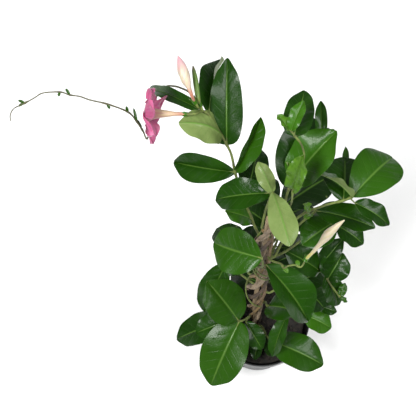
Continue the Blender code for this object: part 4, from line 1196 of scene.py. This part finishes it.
def build_thin_stems(leaves):
    """Thin green stems that wind round the outside of the bundle."""
    skin = Skin()
    for foot, top, phase, radius in THIN_STEMS:
        count = round((top - foot) / THIN_STEP)
        path = []
        for height in spread_evenly(foot, top, count):
            angle = math.radians(phase) - math.tau * (height - foot) / THIN_PITCH
            reach = spread_at(height) + THIN_CLEAR
            path.append(bundle_centre(height) + outward_at(angle) * reach)
        add_tube(skin, path, [radius] * count, THIN_SIDES)
    piece = new_piece("thin_stems", skin, [green_stem_material(leaves)])
    settle(piece, "bud_stalk")


# Pot and soil

def build_pot(sizes):
    """The pot: a thin moulded wall, a rolled lip, low rings and drain holes in its floor."""
    step_height = sizes.height - sizes.lip_height
    wall_top = sizes.rim_radius - sizes.lip_step
    profile = [(0.0, 0.0), (sizes.base_radius - POT_EDGE, 0.0), (sizes.base_radius, POT_EDGE)]
    for index in range(1, WALL_STEPS):
        share = index / WALL_STEPS
        radius = sizes.base_radius + (wall_top - sizes.base_radius) * share
        low_ring = WALL_RING_HEIGHT * max(0.0, math.cos(math.tau * share * WALL_RINGS)) ** 6
        profile.append((radius + low_ring, POT_EDGE + (step_height - POT_EDGE) * share))
    lip = sizes.rim_radius
    profile += [
        (wall_top, step_height), (lip - POT_EDGE, step_height + 0.0001),
        (lip - POT_EDGE * 0.3, step_height + POT_EDGE * 0.3), (lip, step_height + POT_EDGE),
    ]
    profile += [(lip + out, sizes.height - below) for out, below in OUTER_LIP]
    profile.append((lip - POT_EDGE, sizes.height))
    profile += [(lip - sizes.wall + out, sizes.height - below) for out, below in INNER_LIP]
    profile += [
        (wall_top - sizes.wall, step_height - POT_EDGE),
        (sizes.base_radius - sizes.wall, FLOOR_THICKNESS), (0.0, FLOOR_THICKNESS),
    ]
    skin = Skin()
    add_lathe(skin, profile, POT_SEGMENTS)
    cutters = []
    for hole in range(DRAIN_HOLES):
        place = outward_at(math.tau * hole / DRAIN_HOLES) * DRAIN_CIRCLE_RADIUS
        below = place - Vector((0.0, 0.0, CUT_MARGIN))
        above = place + Vector((0.0, 0.0, FLOOR_THICKNESS + CUT_MARGIN))
        cutter = Skin()
        add_tube(cutter, [below, above], [DRAIN_HOLE_RADIUS] * 2, CUTTER_SIDES)
        cutters.append(cutter)
    values = {"First": tuple(sizes.colour), "Second": shaded(sizes.colour, 2.2),
              "Scale": 60.0, "Rough": 0.30}
    finish = patterned("pot_plastic", build_crumb_pattern, values, 0.12, 0.0002)
    piece = new_piece("pot_dressed", skin, [finish], POT_SHARPNESS)
    cut(piece, cutters)
    piece.data.shade_smooth()
    piece.data.set_sharp_from_angle(angle=math.radians(POT_SHARPNESS))
    settle(piece, "pot_plastic", "pot")


def ground_height(x, y):
    """The height of the lumpy ground in the pot."""
    reach = math.hypot(x, y) / SOIL_RADIUS
    lump = noise.noise(Vector((x * 90.0, y * 90.0, 1.0)))
    lump += 0.5 * noise.noise(Vector((x * 260.0, y * 260.0, 5.0)))
    return SOIL_TOP - SOIL_CROWN * reach ** 2 + SOIL_LUMP * lump


def add_soil_ring(skin, radius, height_at):
    """A ring of the soil's corners, at the heights that height_at(x, y) gives."""
    ring = []
    for step in range(SOIL_SEGMENTS):
        angle = math.tau * step / SOIL_SEGMENTS
        x, y = radius * math.cos(angle), radius * math.sin(angle)
        ring.append(skin.corner((x, y, height_at(x, y)), PLAIN_PLACE))
    return ring


def add_crumb(skin, place, radius, flatness, tone):
    """An irregular lump of soil or bark."""
    lump = bmesh.new()
    bmesh.ops.create_icosphere(lump, subdivisions=2, radius=1.0)
    turn = Matrix.Rotation(random.uniform(0, math.tau), 3, "Z")
    turn = turn @ Matrix.Rotation(random.uniform(-0.5, 0.5), 3, "X")
    seed = random.uniform(0, 90)
    corners = []
    for vertex in lump.verts:
        bumps = 1.0 + CRUMB_BUMPS * noise.noise(vertex.co * 1.7 + Vector((seed, 0, 0)))
        point = Vector((vertex.co.x * 1.25, vertex.co.y * 0.8, vertex.co.z * flatness)) * bumps
        corners.append(skin.corner(place + turn @ point * radius, (0.0, 0.0, 0.0, tone)))
    for face in lump.faces:
        skin.face([corners[vertex.index] for vertex in face.verts])
    lump.free()


def build_soil(sizes, pot):
    """Damp dark soil with crumbs, bark chips and a few pale grains."""
    random.seed(SOIL_SEED)
    skin = Skin()
    rings = [add_soil_ring(skin, SOIL_RADIUS * ring / SOIL_RINGS, ground_height)
             for ring in range(1, SOIL_RINGS + 1)]
    middle = skin.corner((0.0, 0.0, ground_height(0.0, 0.0)), PLAIN_PLACE)
    inward, down = SOIL_SHOULDER
    rings.append(add_soil_ring(skin, SOIL_RADIUS - inward, lambda x, y: SOIL_TOP - down))
    rings.append(add_soil_ring(skin, pot.base_radius - pot.wall - GAP,
                               lambda x, y: FLOOR_THICKNESS + GAP))
    for step in range(SOIL_SEGMENTS):
        after = (step + 1) % SOIL_SEGMENTS
        skin.face((middle, rings[0][step], rings[0][after]))
        for inner, outer in zip(rings, rings[1:]):
            skin.face((inner[step], outer[step], outer[after], inner[after]))
    skin.face(rings[-1][::-1])
    for _ in range(sizes.crumbs):
        angle = random.uniform(0, math.tau)
        reach = (SOIL_RADIUS - CRUMB_MARGIN) * math.sqrt(random.random())
        x, y = reach * math.cos(angle), reach * math.sin(angle)
        radius = sizes.crumb_size * random.uniform(0.3, 1.0) ** 1.6
        place = Vector((x, y, ground_height(x, y) + radius * 0.25))
        pale = random.random() < PALE_CRUMBS
        tone = 1.25 if pale else random.uniform(0.2, 0.75)
        flatness = 0.8 if pale else random.choice((0.35, 0.6, 0.8))
        add_crumb(skin, place, radius, flatness, tone)
    values = {"First": tuple(sizes.colour), "Second": shaded(sizes.colour, 3.5),
              "Scale": 240.0, "Rough": 0.72}
    finish = patterned("soil", build_crumb_pattern, values, 0.9, 0.0012)
    settle(new_piece("soil_dressed", skin, [finish], SOIL_SHARPNESS), "soil", "soil")


# Leaves and shoots

def leaf_outline(share, belly):
    """The half width of a leaf that is broadest at belly, as a share of its half width."""
    spread = share ** (math.log(0.5) / math.log(belly))
    body = max(4.0 * spread * (1.0 - spread), 0.0) ** LEAF_ROUNDNESS
    point = 1.0 - POINT_NARROWING * eased((share - POINT_FROM) / (1.0 - POINT_FROM))
    return body * point


def quilting(along, across):
    """The bulge between side veins and the groove over the midrib, from about -1 to 1."""
    side = abs(across)
    phase = SIDE_VEINS * (along - VEIN_SLANT * side) + (VEIN_SHIFT if across > 0.0 else 0.0)
    off_vein = abs((phase + 10.0) % 1.0 - 0.5) * 2.0
    bulge = 1.0 - (1.0 - off_vein) ** 2
    fade = (1.0 - side ** 3) * min(side * 5.0, 1.0)
    return bulge * fade - GROOVE_DEPTH * math.exp(-(across * GROOVE_SHARPNESS) ** 2)


def leaf_surface(leaf, foot, relief):
    """The middle surface of a leaf, as a function of the shares along and across it."""
    chord = seen(*leaf.tip) - foot
    ahead = chord.normalized()
    face = Vector((0.0, 0.0, 1.0)) - ahead * ahead.z
    face = Matrix.Rotation(math.radians(leaf.roll), 3, ahead) @ face.normalized()
    side = ahead.cross(face)
    lift = -1.0 if math.cos(math.radians(leaf.roll)) < 0.0 else 1.0
    fold = math.radians(leaf.fold)
    depth = relief * min(leaf.width / RELIEF_WIDTH, 1.3)

    def surface(along, across):
        outline = leaf_outline(along, leaf.belly)
        half = leaf.width / 2 * outline * across
        rise = lift * leaf.bow * chord.length * 4.0 * along * (1.0 - along)
        rise += abs(half) * math.sin(fold)
        rise += leaf.wave * across ** 2 * math.sin(math.tau * WAVES_ALONG * along + across)
        rise += depth * quilting(along, across) * min(outline * 1.5, 1.0)
        return foot + chord * along + side * half * math.cos(fold) + face * rise

    return surface


def add_leaf(skin, leaf, curve, sizes, plain):
    """A leaf on its stalk: a quilted blade, thin at its edges, with a rib underneath."""
    foot = seen(*leaf.foot)
    start = nearest(curve, foot)
    stalk = foot - start
    ahead = (seen(*leaf.tip) - foot).normalized()
    stalked = stalk.dot(ahead) > stalk.length / 2 and stalk.length > SHORTEST_STALK
    if not stalked:
        foot = start
    blade = leaf_surface(leaf, foot, 0.0 if leaf.width < SMOOTH_BELOW else sizes.vein_relief)
    half_width = min(STALK_WIDTH, leaf.width / 4) / 2
    blade_side = (blade(0.3, 0.5) - blade(0.3, -0.5)).normalized()

    def surface(along, across):
        narrow = blade_side * half_width * across
        return blade(along, across) + narrow * max(1.0 - along / STALK_BLENDS_BY, 0.0)

    def heights(along, across):
        upper = sizes.thickness / 2 * (1.0 - EDGE_THINNING * abs(across) ** 4)
        off_rib = across * leaf.width / 2 * max(leaf_outline(along, leaf.belly), 0.1) / RIB_WIDTH
        rib = RIB_HEIGHT * min(leaf.width / RELIEF_WIDTH, 1.0) * (1.0 - 0.8 * along)
        return upper, upper + rib * math.exp(-off_rib ** 2)

    plain = plain or leaf.width < PLAIN_BELOW
    rows, columns = (PLAIN_ROWS, PLAIN_COLUMNS) if plain else (BLADE_ROWS, BLADE_COLUMNS)
    alongs = [0.5 - 0.5 * math.cos(math.pi * index / rows) for index in range(rows + 1)]
    shares = spread_evenly(-1.0, 1.0, columns)
    acrosses = [math.copysign(abs(share) ** 1.25, share) for share in shares]
    add_sheet(skin, surface, alongs, acrosses, heights, leaf.tone)
    if leaf.width > STALKED_FROM:
        joint = [start, start.lerp(foot, 0.5), foot] if stalked else [start]
        joint += [surface(0.03, 0.0), surface(0.09, 0.0)]
        radius = min(leaf.width / STALK_SLENDERNESS, WIDEST_STALK)
        radii = [radius * 1.25] + [radius] * (len(joint) - 2) + [radius * 0.45]
        add_tube(skin, smooth_path(joint, 3), smooth_values(radii, 3), THIN_SIDES, leaf.tone, 1)
    return start


def shoot_curve(name, per_span=STEM_SPAN_STEPS):
    """The curve of a shoot's stem, from the bundle out."""
    shoot = next(each for each in SHOOTS if each.name == name)
    start, clear = root_of(shoot)
    points = [clear] + [seen(*place) for place in shoot.path]
    return [start] + smooth_path(points, per_span)


def add_calyx(skin, centre, ahead, radius, length):
    """Five narrow sepals that hug the foot of a bud or flower."""
    side = ahead.orthogonal().normalized()
    other = ahead.cross(side)
    for sepal in range(SEPALS):
        turn = math.tau * sepal / SEPALS

        def surface(along, across, turn=turn):
            width = 0.9 * (1.0 - along) ** 0.7 * (0.5 + 0.5 * eased(along * 3.0))
            angle = turn + across * width
            reach = radius * (1.0 + 0.35 * along) + 0.0007 * along ** 3
            outward = side * math.cos(angle) + other * math.sin(angle)
            return centre + outward * reach + ahead * length * (along - 0.12)

        add_sheet(skin, surface, spread_evenly(0.0, 0.98, 8), spread_evenly(-1.0, 1.0, 5),
                  lambda along, across: (SEPAL_THICKNESS / 2, SEPAL_THICKNESS / 2), 0.75)


def stalk_path(name):
    """The path of the stalk that bears this flower or bud."""
    if name in STALKS:
        return [seen(*place) for place in STALKS[name]]
    return shoot_curve(name + "_stalk", 2)


def build_shoot(shoot, sizes):
    """A green stem with its leaves; the stem is thicker where they join it."""
    curve = shoot_curve(shoot.name)
    skin = Skin()
    joints = []
    for leaf in shoot.leaves:
        joints.append(add_leaf(skin, leaf, curve, sizes, shoot.inner))
    radii = []
    for index, point in enumerate(curve):
        radius = shoot.radius * (1.0 - (1.0 - STEM_TAPER) * index / (len(curve) - 1))
        off_joint = min(((point - joint).length for joint in joints), default=1.0)
        radii.append(radius * (1.0 + NODE_SWELL * math.exp(-(off_joint / NODE_LENGTH) ** 2)))
    add_tube(skin, curve, radii, STEM_SIDES, finish=1)
    borne = BORNE.get(shoot.name, ())
    for name, _, _ in borne:
        if name in STALKS:
            radii = smooth_values((STALK_RADIUS, STALK_RADIUS, CALYX_RADIUS), 4)
            add_tube(skin, smooth_path(stalk_path(name), 4), radii, STEM_SIDES, 0.6, 1)
    for name, radius, length in borne:
        path = stalk_path(name)
        add_calyx(skin, path[-1], (path[-1] - path[-2]).normalized(), radius, length)
    finishes = [leaf_material(shoot.slot, sizes), green_stem_material(sizes)]
    settle(new_piece(shoot.name, skin, finishes), shoot.slot, shoot.name)


def past_end(stalk):
    """The place just past the end of a stalk, and the direction in which the stalk ends."""
    ahead = (stalk[-1] - stalk[-2]).normalized()
    return stalk[-1] + ahead * END_GAP, ahead


def build_long_shoot(sizes):
    """The thin shoot that reaches far out to the left, with its tiny bracts."""
    host = shoot_curve("left_flowering_shoot", 2)
    path = [seen(*place) for place in LONG_SHOOT]
    joint = nearest(host, path[0])
    share = host.index(joint) / (len(host) - 1)
    outward = (path[0] - joint).normalized()
    radius = STEM_RADIUS * (1.0 - (1.0 - STEM_TAPER) * share)
    curve = smooth_path([joint + outward * (radius + GAP)] + path, 5)
    radii = spread_evenly(LONG_SHOOT_FOOT_RADIUS, LONG_SHOOT_TIP_RADIUS, len(curve))
    skin = Skin()
    for bract in BRACTS:
        centre = nearest(curve, seen(*bract.foot))
        surface = leaf_surface(bract, centre, 0.0)
        add_sheet(skin, surface, spread_evenly(0.0, 1.0, 12), spread_evenly(-1.0, 1.0, 7),
                  lambda along, across: (BRACT_THICKNESS / 2, BRACT_THICKNESS / 2), 0.55, 1)
        knot = curve.index(centre)
        for index in range(len(curve)):
            radii[index] *= 1.0 + 0.5 * math.exp(-((index - knot) / 1.2) ** 2)
    add_tube(skin, curve, radii, LONG_SHOOT_SIDES)
    finish = streaked("tendril", sizes.tendril, TENDRIL_STREAKS)
    finishes = [finish, leaf_material("leaf", sizes)]
    settle(new_piece("long_shoot_dressed", skin, finishes), "tendril", "long_shoot")


# Flower and buds

def petal_finish(name, colours, first, second, veins, twist):
    """The petal finish in the colours (base, middle, end, vein).

    The colours change at the shares first and second of the length.
    """
    values = dict(zip(("Base", "Middle", "End", "Vein"), (tuple(c) for c in colours)))
    values.update({"First": first, "Second": second, "Veins": veins, "Twist": twist})
    silk = {"Sheen Weight": 0.25, "Sheen Roughness": 0.4, "Subsurface Weight": 0.12,
            "Subsurface Scale": 0.002}
    return patterned(name, build_petal_pattern, values, 0.3, 0.0004, silk)


def trumpet_radius(share):
    """The outer radius of the trumpet at this share of its length."""
    for (low, first), (high, last) in zip(TRUMPET_SHAPE, TRUMPET_SHAPE[1:]):
        if share <= high:
            return TUBE_RADIUS * (first + (last - first) * (share - low) / (high - low))
    return TUBE_RADIUS * TRUMPET_SHAPE[-1][1]


def lobe_outline(share):
    """The half width of a petal lobe: narrow at the throat, broad and blunt at its end."""
    return (0.74 + 0.60 * eased(share / 0.6)) * max(1.0 - share ** 5, 0.0) ** 0.6 / 1.25


def build_flower(sizes):
    """The corolla: a hollow trumpet and five broad lobes that overlap like a pinwheel."""
    base = past_end(stalk_path("flower"))[0]
    axis = seen(*FLOWER_FACE) - base
    length = axis.length
    turn = Vector((0.0, 0.0, 1.0)).rotation_difference(axis.normalized())
    placing = Matrix.Translation(base) @ turn.to_matrix().to_4x4()
    skin = Skin()
    outer = []
    for index in range(TRUMPET_STEPS + 1):
        share = index / TRUMPET_STEPS
        near = [trumpet_radius(min(max(share + shift, 0.0), 1.0)) for shift in
                (-0.06, -0.03, 0.0, 0.03, 0.06)]
        outer.append((sum(near) / len(near), share * length))
    wall = sizes.petal_wall
    inner = [(radius - wall, height) for radius, height in reversed(outer)
             if height >= HOLLOW_FROM * length]
    profile = [(0.0, 0.0)] + outer + inner + [(0.0, inner[-1][1] - wall)]
    mouth = (len(outer) + 1) / (len(profile) - 1)

    def place(share):
        outside = share <= mouth
        reach = share / mouth if outside else (1.0 - share) / (1.0 - mouth) * 0.5 + 0.5
        return reach * 0.5, 0.0 if outside else 1.0

    add_lathe(skin, profile, TRUMPET_SEGMENTS, place)
    for lobe, form in enumerate(LOBE_FORMS):
        spin = Matrix.Rotation(math.tau * lobe / len(LOBE_FORMS), 3, "Z")
        random.seed(LOBE_SEED + lobe)
        curl = random.uniform(*LOBE_CURLS)

        def surface(along, across, spin=spin, form=form, curl=curl, seed=lobe):
            share = min(along, 0.999)
            reach = THROAT_RADIUS - wall + (LOBE_REACH * form.reach - THROAT_RADIUS) * along
            narrowed = 1.0 - (1.0 - form.width) * eased(along * 1.6)
            half = sizes.lobe_width / 2 * lobe_outline(share) * narrowed * across
            back = length - wall / 2 - LOBE_BACK * math.sin(math.pi * along * 0.8)
            slant = half * math.tan(math.radians(form.twist)) * eased(along * 2.5)
            ripple = curl * math.sin(4.6 * across + 2.6 * along + seed) * eased(along * 1.6)
            ripple *= abs(across) ** 1.2
            dent = LOBE_DENT * math.exp(-(across * 7.0) ** 2) * eased(along * 2.0)
            lean = form.lean * along ** 1.5
            return spin @ Vector((reach, half, back + slant + ripple - dent + lean))

        first = len(skin.corners)
        add_sheet(skin, surface, spread_evenly(0.0, 1.0, 26), spread_evenly(-1.0, 1.0, 19),
                  lambda along, across: (wall * 0.4, wall * 0.4 * (1.0 - 0.5 * across ** 4)))
        for corner in range(first, len(skin.corners)):
            along, across, under, tone = skin.places[corner]
            skin.places[corner] = (0.5 + 0.5 * along, across, under, tone)
    skin.corners = [tuple(placing @ Vector(corner)) for corner in skin.corners]
    colours = (sizes.salmon, sizes.cream_pink, sizes.petal, sizes.petal_vein)
    finish = petal_finish("petal", colours, 0.11, 0.40, 7.0, 0.0)
    settle(new_piece("flower_dressed", skin, [finish], PETAL_SHARPNESS), "petal", "flower")


def build_bud(bud, sizes):
    """A closed bud: its furled petals wind round it as shallow ridges."""
    start, ahead = past_end(stalk_path(bud.name))
    path = [start, start + ahead * BUD_REACH] + [seen(*place) for place in bud.places]

    def swell(along, around):
        ridge = (BUD_RIDGES * (around + bud.twist * along)) % 1.0
        fade = eased(along * 3.0) * eased((1.0 - along) * 4.0)
        return 1.0 + BUD_RIDGE_HEIGHT * (ridge - 0.5) * fade

    skin = Skin()
    add_tube(skin, smooth_path(path, 8), smooth_values(bud.radii, 8), BUD_SIDES, swell=swell)
    colours = [getattr(sizes, colour) for colour in bud.colours]
    finish = petal_finish(bud.name, colours, bud.first, bud.second, BUD_RIDGES, bud.twist)
    piece = new_piece(bud.name + "_dressed", skin, [finish], PETAL_SHARPNESS)
    settle(piece, bud.name, bud.name)


# The user's sizes and colours

def colour_of(name, text, value):
    """A colour that the user can change."""
    return FloatVectorProperty(name=name, description=text, default=value, subtype="COLOR",
                               size=3, min=0.0, max=1.0)


def length_of(name, text, value):
    """A length that the user can change."""
    return FloatProperty(name=name, description=text, default=value, min=0.0, unit="LENGTH",
                         precision=4)


class MANDEVILLA_PG_pot(bpy.types.PropertyGroup):
    """Sizes and colour of the pot"""
    rim_radius: length_of("Rim radius", "Half the width over the pot's lip", 0.065)
    height: length_of("Height", "From the underside to the top of the lip", 0.115)
    base_radius: length_of("Base radius", "Half the width of the underside", 0.0468)
    wall: length_of("Wall", "Thickness of the moulded wall", 0.0014)
    lip_height: length_of("Lip height", "Height of the band under the rim", 0.013)
    lip_step: length_of("Lip step", "How far the band stands out from the wall", 0.0034)
    colour: colour_of("Colour", "Colour of the plastic", (0.012, 0.012, 0.013))


class MANDEVILLA_PG_soil(bpy.types.PropertyGroup):
    """Crumbs and colour of the soil"""
    crumbs: IntProperty(name="Crumbs", description="How many lumps lie on the soil",
                        default=430, min=0)
    crumb_size: length_of("Crumb size", "Radius of the largest lump", 0.0032)
    colour: colour_of("Colour", "Colour of the damp soil", (0.0060, 0.0042, 0.0030))


class MANDEVILLA_PG_bark(bpy.types.PropertyGroup):
    """Sizes and colours of the cane and the woody stems"""
    cane_radius: length_of("Cane radius", "Half the thickness of the cane", 0.0028)
    relief: FloatProperty(name="Relief", description="Height of the ridges in the bark, as a "
                          "share of the stem's radius", default=0.30, min=0.0, subtype="FACTOR")
    cane: colour_of("Cane", "Colour of the dry cane", (0.260, 0.185, 0.100))
    papery_bark: colour_of("Papery bark", "Colour of the peeling stem", (0.250, 0.185, 0.115))
    brown_bark: colour_of("Brown bark", "Colour of the dark stem", (0.080, 0.048, 0.026))
    tan_bark: colour_of("Tan bark", "Colour of the tan stem", (0.190, 0.125, 0.062))
    ochre_bark: colour_of("Ochre bark", "Colour of the ochre stem", (0.210, 0.135, 0.042))


class MANDEVILLA_PG_leaves(bpy.types.PropertyGroup):
    """Sizes and colours of the leaves and the green stems"""
    thickness: length_of("Thickness", "Thickness of a blade", 0.0005)
    vein_relief: length_of("Vein relief", "How far a blade bulges between veins", 0.0006)
    roughness: FloatProperty(name="Roughness", description="Roughness of the upper side",
                             default=0.30, min=0.0, max=1.0, subtype="FACTOR")
    dark: colour_of("Dark", "Upper side of the darkest leaves", (0.0028, 0.0150, 0.0006))
    middle: colour_of("Middle", "Upper side of usual leaves", (0.0090, 0.0420, 0.0010))
    bright: colour_of("Bright", "Upper side of bright leaves", (0.0260, 0.0920, 0.0035))
    young: colour_of("Young", "Upper side of the youngest leaves", (0.0850, 0.1700, 0.0170))
    under: colour_of("Under", "Under side of the leaves", (0.1350, 0.1800, 0.0560))
    vein: colour_of("Vein", "Midrib and side veins", (0.0850, 0.1700, 0.0280))
    stem: colour_of("Stem", "Green stems", (0.1200, 0.1600, 0.0300))
    stem_shade: colour_of("Stem shade", "Darker streaks of the green stems",
                          (0.0500, 0.0600, 0.0130))
    tendril: colour_of("Tendril", "The long thin shoot", (0.0800, 0.0750, 0.0330))


class MANDEVILLA_PG_flower(bpy.types.PropertyGroup):
    """Sizes and colours of the flower and the buds"""
    lobe_width: length_of("Lobe width", "Width of each lobe of the corolla", 0.0330)
    petal_wall: length_of("Petal thickness", "Thickness of the corolla", 0.0007)
    petal: colour_of("Petal", "Colour of the lobes", (0.360, 0.070, 0.165))
    petal_vein: colour_of("Petal vein", "Fine veins in the lobes", (0.230, 0.022, 0.085))
    cream_pink: colour_of("Tube", "Colour of the tube's wide part", (0.400, 0.300, 0.180))
    salmon: colour_of("Tube foot", "Colour of the tube's narrow foot", (0.320, 0.130, 0.070))
    bud_pink: colour_of("Bud pink", "Pink of the bud's tip", (0.500, 0.270, 0.300))
    bud_cream: colour_of("Bud cream", "Cream of the buds", (0.440, 0.380, 0.270))
    bud_yellow: colour_of("Bud yellow", "Foot of the cream bud", (0.330, 0.310, 0.090))


class MANDEVILLA_PG_stage(bpy.types.PropertyGroup):
    """Floor and lights"""
    floor: colour_of("Floor", "Colour of the plain floor", (0.93, 0.93, 0.93))
    sky: FloatProperty(name="Sky", description="Strength of the even light", default=0.24,
                       min=0.0)
    key: FloatProperty(name="Key light", description="Power of the main lamp", default=40.0,
                       min=0.0, subtype="POWER")
    fill: FloatProperty(name="Fill light", description="Power of the second lamp",
                        default=30.0, min=0.0, subtype="POWER")
    rim: FloatProperty(name="Rim light", description="Power of the lamp behind the plant",
                       default=2.0, min=0.0, subtype="POWER")


# Stage

def add_lamp(name, place, size, power):
    """A square soft lamp that points at the plant."""
    light = bpy.data.lights.new(name, "AREA")
    light.size = size
    light.energy = power
    lamp = bpy.data.objects.new(name, light)
    lamp.location = place
    lamp.rotation_euler = (LAMP_AIM - Vector(place)).to_track_quat("-Z", "Y").to_euler()
    bpy.context.scene.collection.objects.link(lamp)


def build_stage(sizes):
    """A plain pale floor, soft studio light, and the camera at the picture's viewpoint."""
    skin = Skin()
    square = ((-1, -1), (1, -1), (1, 1), (-1, 1))
    skin.face([skin.corner((x * FLOOR_REACH, y * FLOOR_REACH, 0.0), PLAIN_PLACE)
               for x, y in square])
    finish = bpy.data.materials.new("floor")
    finish.use_nodes = True
    shader = finish.node_tree.nodes["Principled BSDF"]
    shader.inputs["Base Color"].default_value = (*sizes.floor, 1.0)
    shader.inputs["Roughness"].default_value = 0.8
    new_piece("floor", skin, [finish])

    world = bpy.data.worlds.new("studio")
    world.use_nodes = True
    background = world.node_tree.nodes["Background"]
    background.inputs["Color"].default_value = (1.0, 1.0, 1.0, 1.0)
    background.inputs["Strength"].default_value = sizes.sky
    bpy.context.scene.world = world
    bpy.context.scene.view_settings.view_transform = "Standard"
    for name, (place, size) in LAMPS.items():
        add_lamp(name, place, size, getattr(sizes, name))

    camera = bpy.data.cameras.new("camera")
    camera.sensor_width = SENSOR_WIDTH
    camera.lens = FOCAL_PIXELS / PICTURE_WIDTH * SENSOR_WIDTH
    camera.clip_start = 0.05
    viewer = bpy.data.objects.new("camera", camera)
    viewer.location = EYE
    viewer.rotation_euler = (math.pi / 2 - VIEW_ELEVATION, 0.0, 0.0)
    bpy.context.scene.collection.objects.link(viewer)
    bpy.context.scene.camera = viewer


# Operators

class MANDEVILLA_OT_pot(bpy.types.Operator):
    """Build the nursery pot"""
    bl_idname = "mandevilla.pot"
    bl_label = "Pot"

    def execute(self, context):
        build_pot(context.scene.mandevilla_pot)
        return {"FINISHED"}


class MANDEVILLA_OT_soil(bpy.types.Operator):
    """Build the soil with its crumbs and bark chips"""
    bl_idname = "mandevilla.soil"
    bl_label = "Soil"

    def execute(self, context):
        build_soil(context.scene.mandevilla_soil, context.scene.mandevilla_pot)
        return {"FINISHED"}


class MANDEVILLA_OT_bundle(bpy.types.Operator):
    """Build the cane, the twisted woody stems and the thin stems round them"""
    bl_idname = "mandevilla.bundle"
    bl_label = "Cane and woody stems"

    def execute(self, context):
        sizes = context.scene.mandevilla_bark
        build_cane(sizes)
        for stem in WOODY_STEMS:
            build_woody_stem(stem, sizes)
        build_thin_stems(context.scene.mandevilla_leaves)
        return {"FINISHED"}


class MANDEVILLA_OT_shoots(bpy.types.Operator):
    """Build the leafy shoots"""
    bl_idname = "mandevilla.shoots"
    bl_label = "Leafy shoots"

    def execute(self, context):
        for shoot in SHOOTS:
            build_shoot(shoot, context.scene.mandevilla_leaves)
        return {"FINISHED"}


class MANDEVILLA_OT_long_shoot(bpy.types.Operator):
    """Build the long thin shoot with its bracts"""
    bl_idname = "mandevilla.long_shoot"
    bl_label = "Long shoot"

    def execute(self, context):
        build_long_shoot(context.scene.mandevilla_leaves)
        return {"FINISHED"}


class MANDEVILLA_OT_flower(bpy.types.Operator):
    """Build the flower"""
    bl_idname = "mandevilla.flower"
    bl_label = "Flower"

    def execute(self, context):
        build_flower(context.scene.mandevilla_flower)
        return {"FINISHED"}


class MANDEVILLA_OT_buds(bpy.types.Operator):
    """Build the pink, green and cream buds"""
    bl_idname = "mandevilla.buds"
    bl_label = "Buds"

    def execute(self, context):
        for bud in BUDS:
            build_bud(bud, getattr(context.scene, bud.group))
        return {"FINISHED"}


class MANDEVILLA_OT_stage(bpy.types.Operator):
    """Build the floor, the lights and the camera"""
    bl_idname = "mandevilla.stage"
    bl_label = "Stage"

    def execute(self, context):
        build_stage(context.scene.mandevilla_stage)
        return {"FINISHED"}


SIZE_GROUPS = {
    "mandevilla_pot": MANDEVILLA_PG_pot,
    "mandevilla_soil": MANDEVILLA_PG_soil,
    "mandevilla_bark": MANDEVILLA_PG_bark,
    "mandevilla_leaves": MANDEVILLA_PG_leaves,
    "mandevilla_flower": MANDEVILLA_PG_flower,
    "mandevilla_stage": MANDEVILLA_PG_stage,
}
OPERATORS = (
    MANDEVILLA_OT_stage, MANDEVILLA_OT_pot, MANDEVILLA_OT_soil, MANDEVILLA_OT_bundle,
    MANDEVILLA_OT_shoots, MANDEVILLA_OT_long_shoot, MANDEVILLA_OT_flower, MANDEVILLA_OT_buds,
)


class MANDEVILLA_PT_panel(bpy.types.Panel):
    """Sizes, colours and building steps of the mandevilla"""
    bl_idname = "MANDEVILLA_PT_panel"
    bl_label = "Mandevilla"
    bl_space_type = "VIEW_3D"
    bl_region_type = "UI"
    bl_category = "Mandevilla"

    def draw(self, context):
        for operator in OPERATORS:
            self.layout.operator(operator.bl_idname)
        for name, group in SIZE_GROUPS.items():
            box = self.layout.box()
            box.label(text=name.replace("mandevilla_", "").capitalize())
            for setting in group.__annotations__:
                box.prop(getattr(context.scene, name), setting)


CLASSES = tuple(SIZE_GROUPS.values()) + OPERATORS + (MANDEVILLA_PT_panel,)


def register():
    """Registers the classes and gives the scene their settings."""
    for each in CLASSES:
        bpy.utils.register_class(each)
    for name, group in SIZE_GROUPS.items():
        setattr(bpy.types.Scene, name, PointerProperty(type=group))


def unregister():
    """Takes back what register has done."""
    for name in SIZE_GROUPS:
        delattr(bpy.types.Scene, name)
    for each in reversed(CLASSES):
        bpy.utils.unregister_class(each)


def main():
    register()
    bpy.ops.mandevilla.stage()
    bpy.ops.mandevilla.pot()
    bpy.ops.mandevilla.soil()
    bpy.ops.mandevilla.bundle()
    bpy.ops.mandevilla.shoots()
    bpy.ops.mandevilla.long_shoot()
    bpy.ops.mandevilla.flower()
    bpy.ops.mandevilla.buds()


if __name__ == "__main__":
    main()
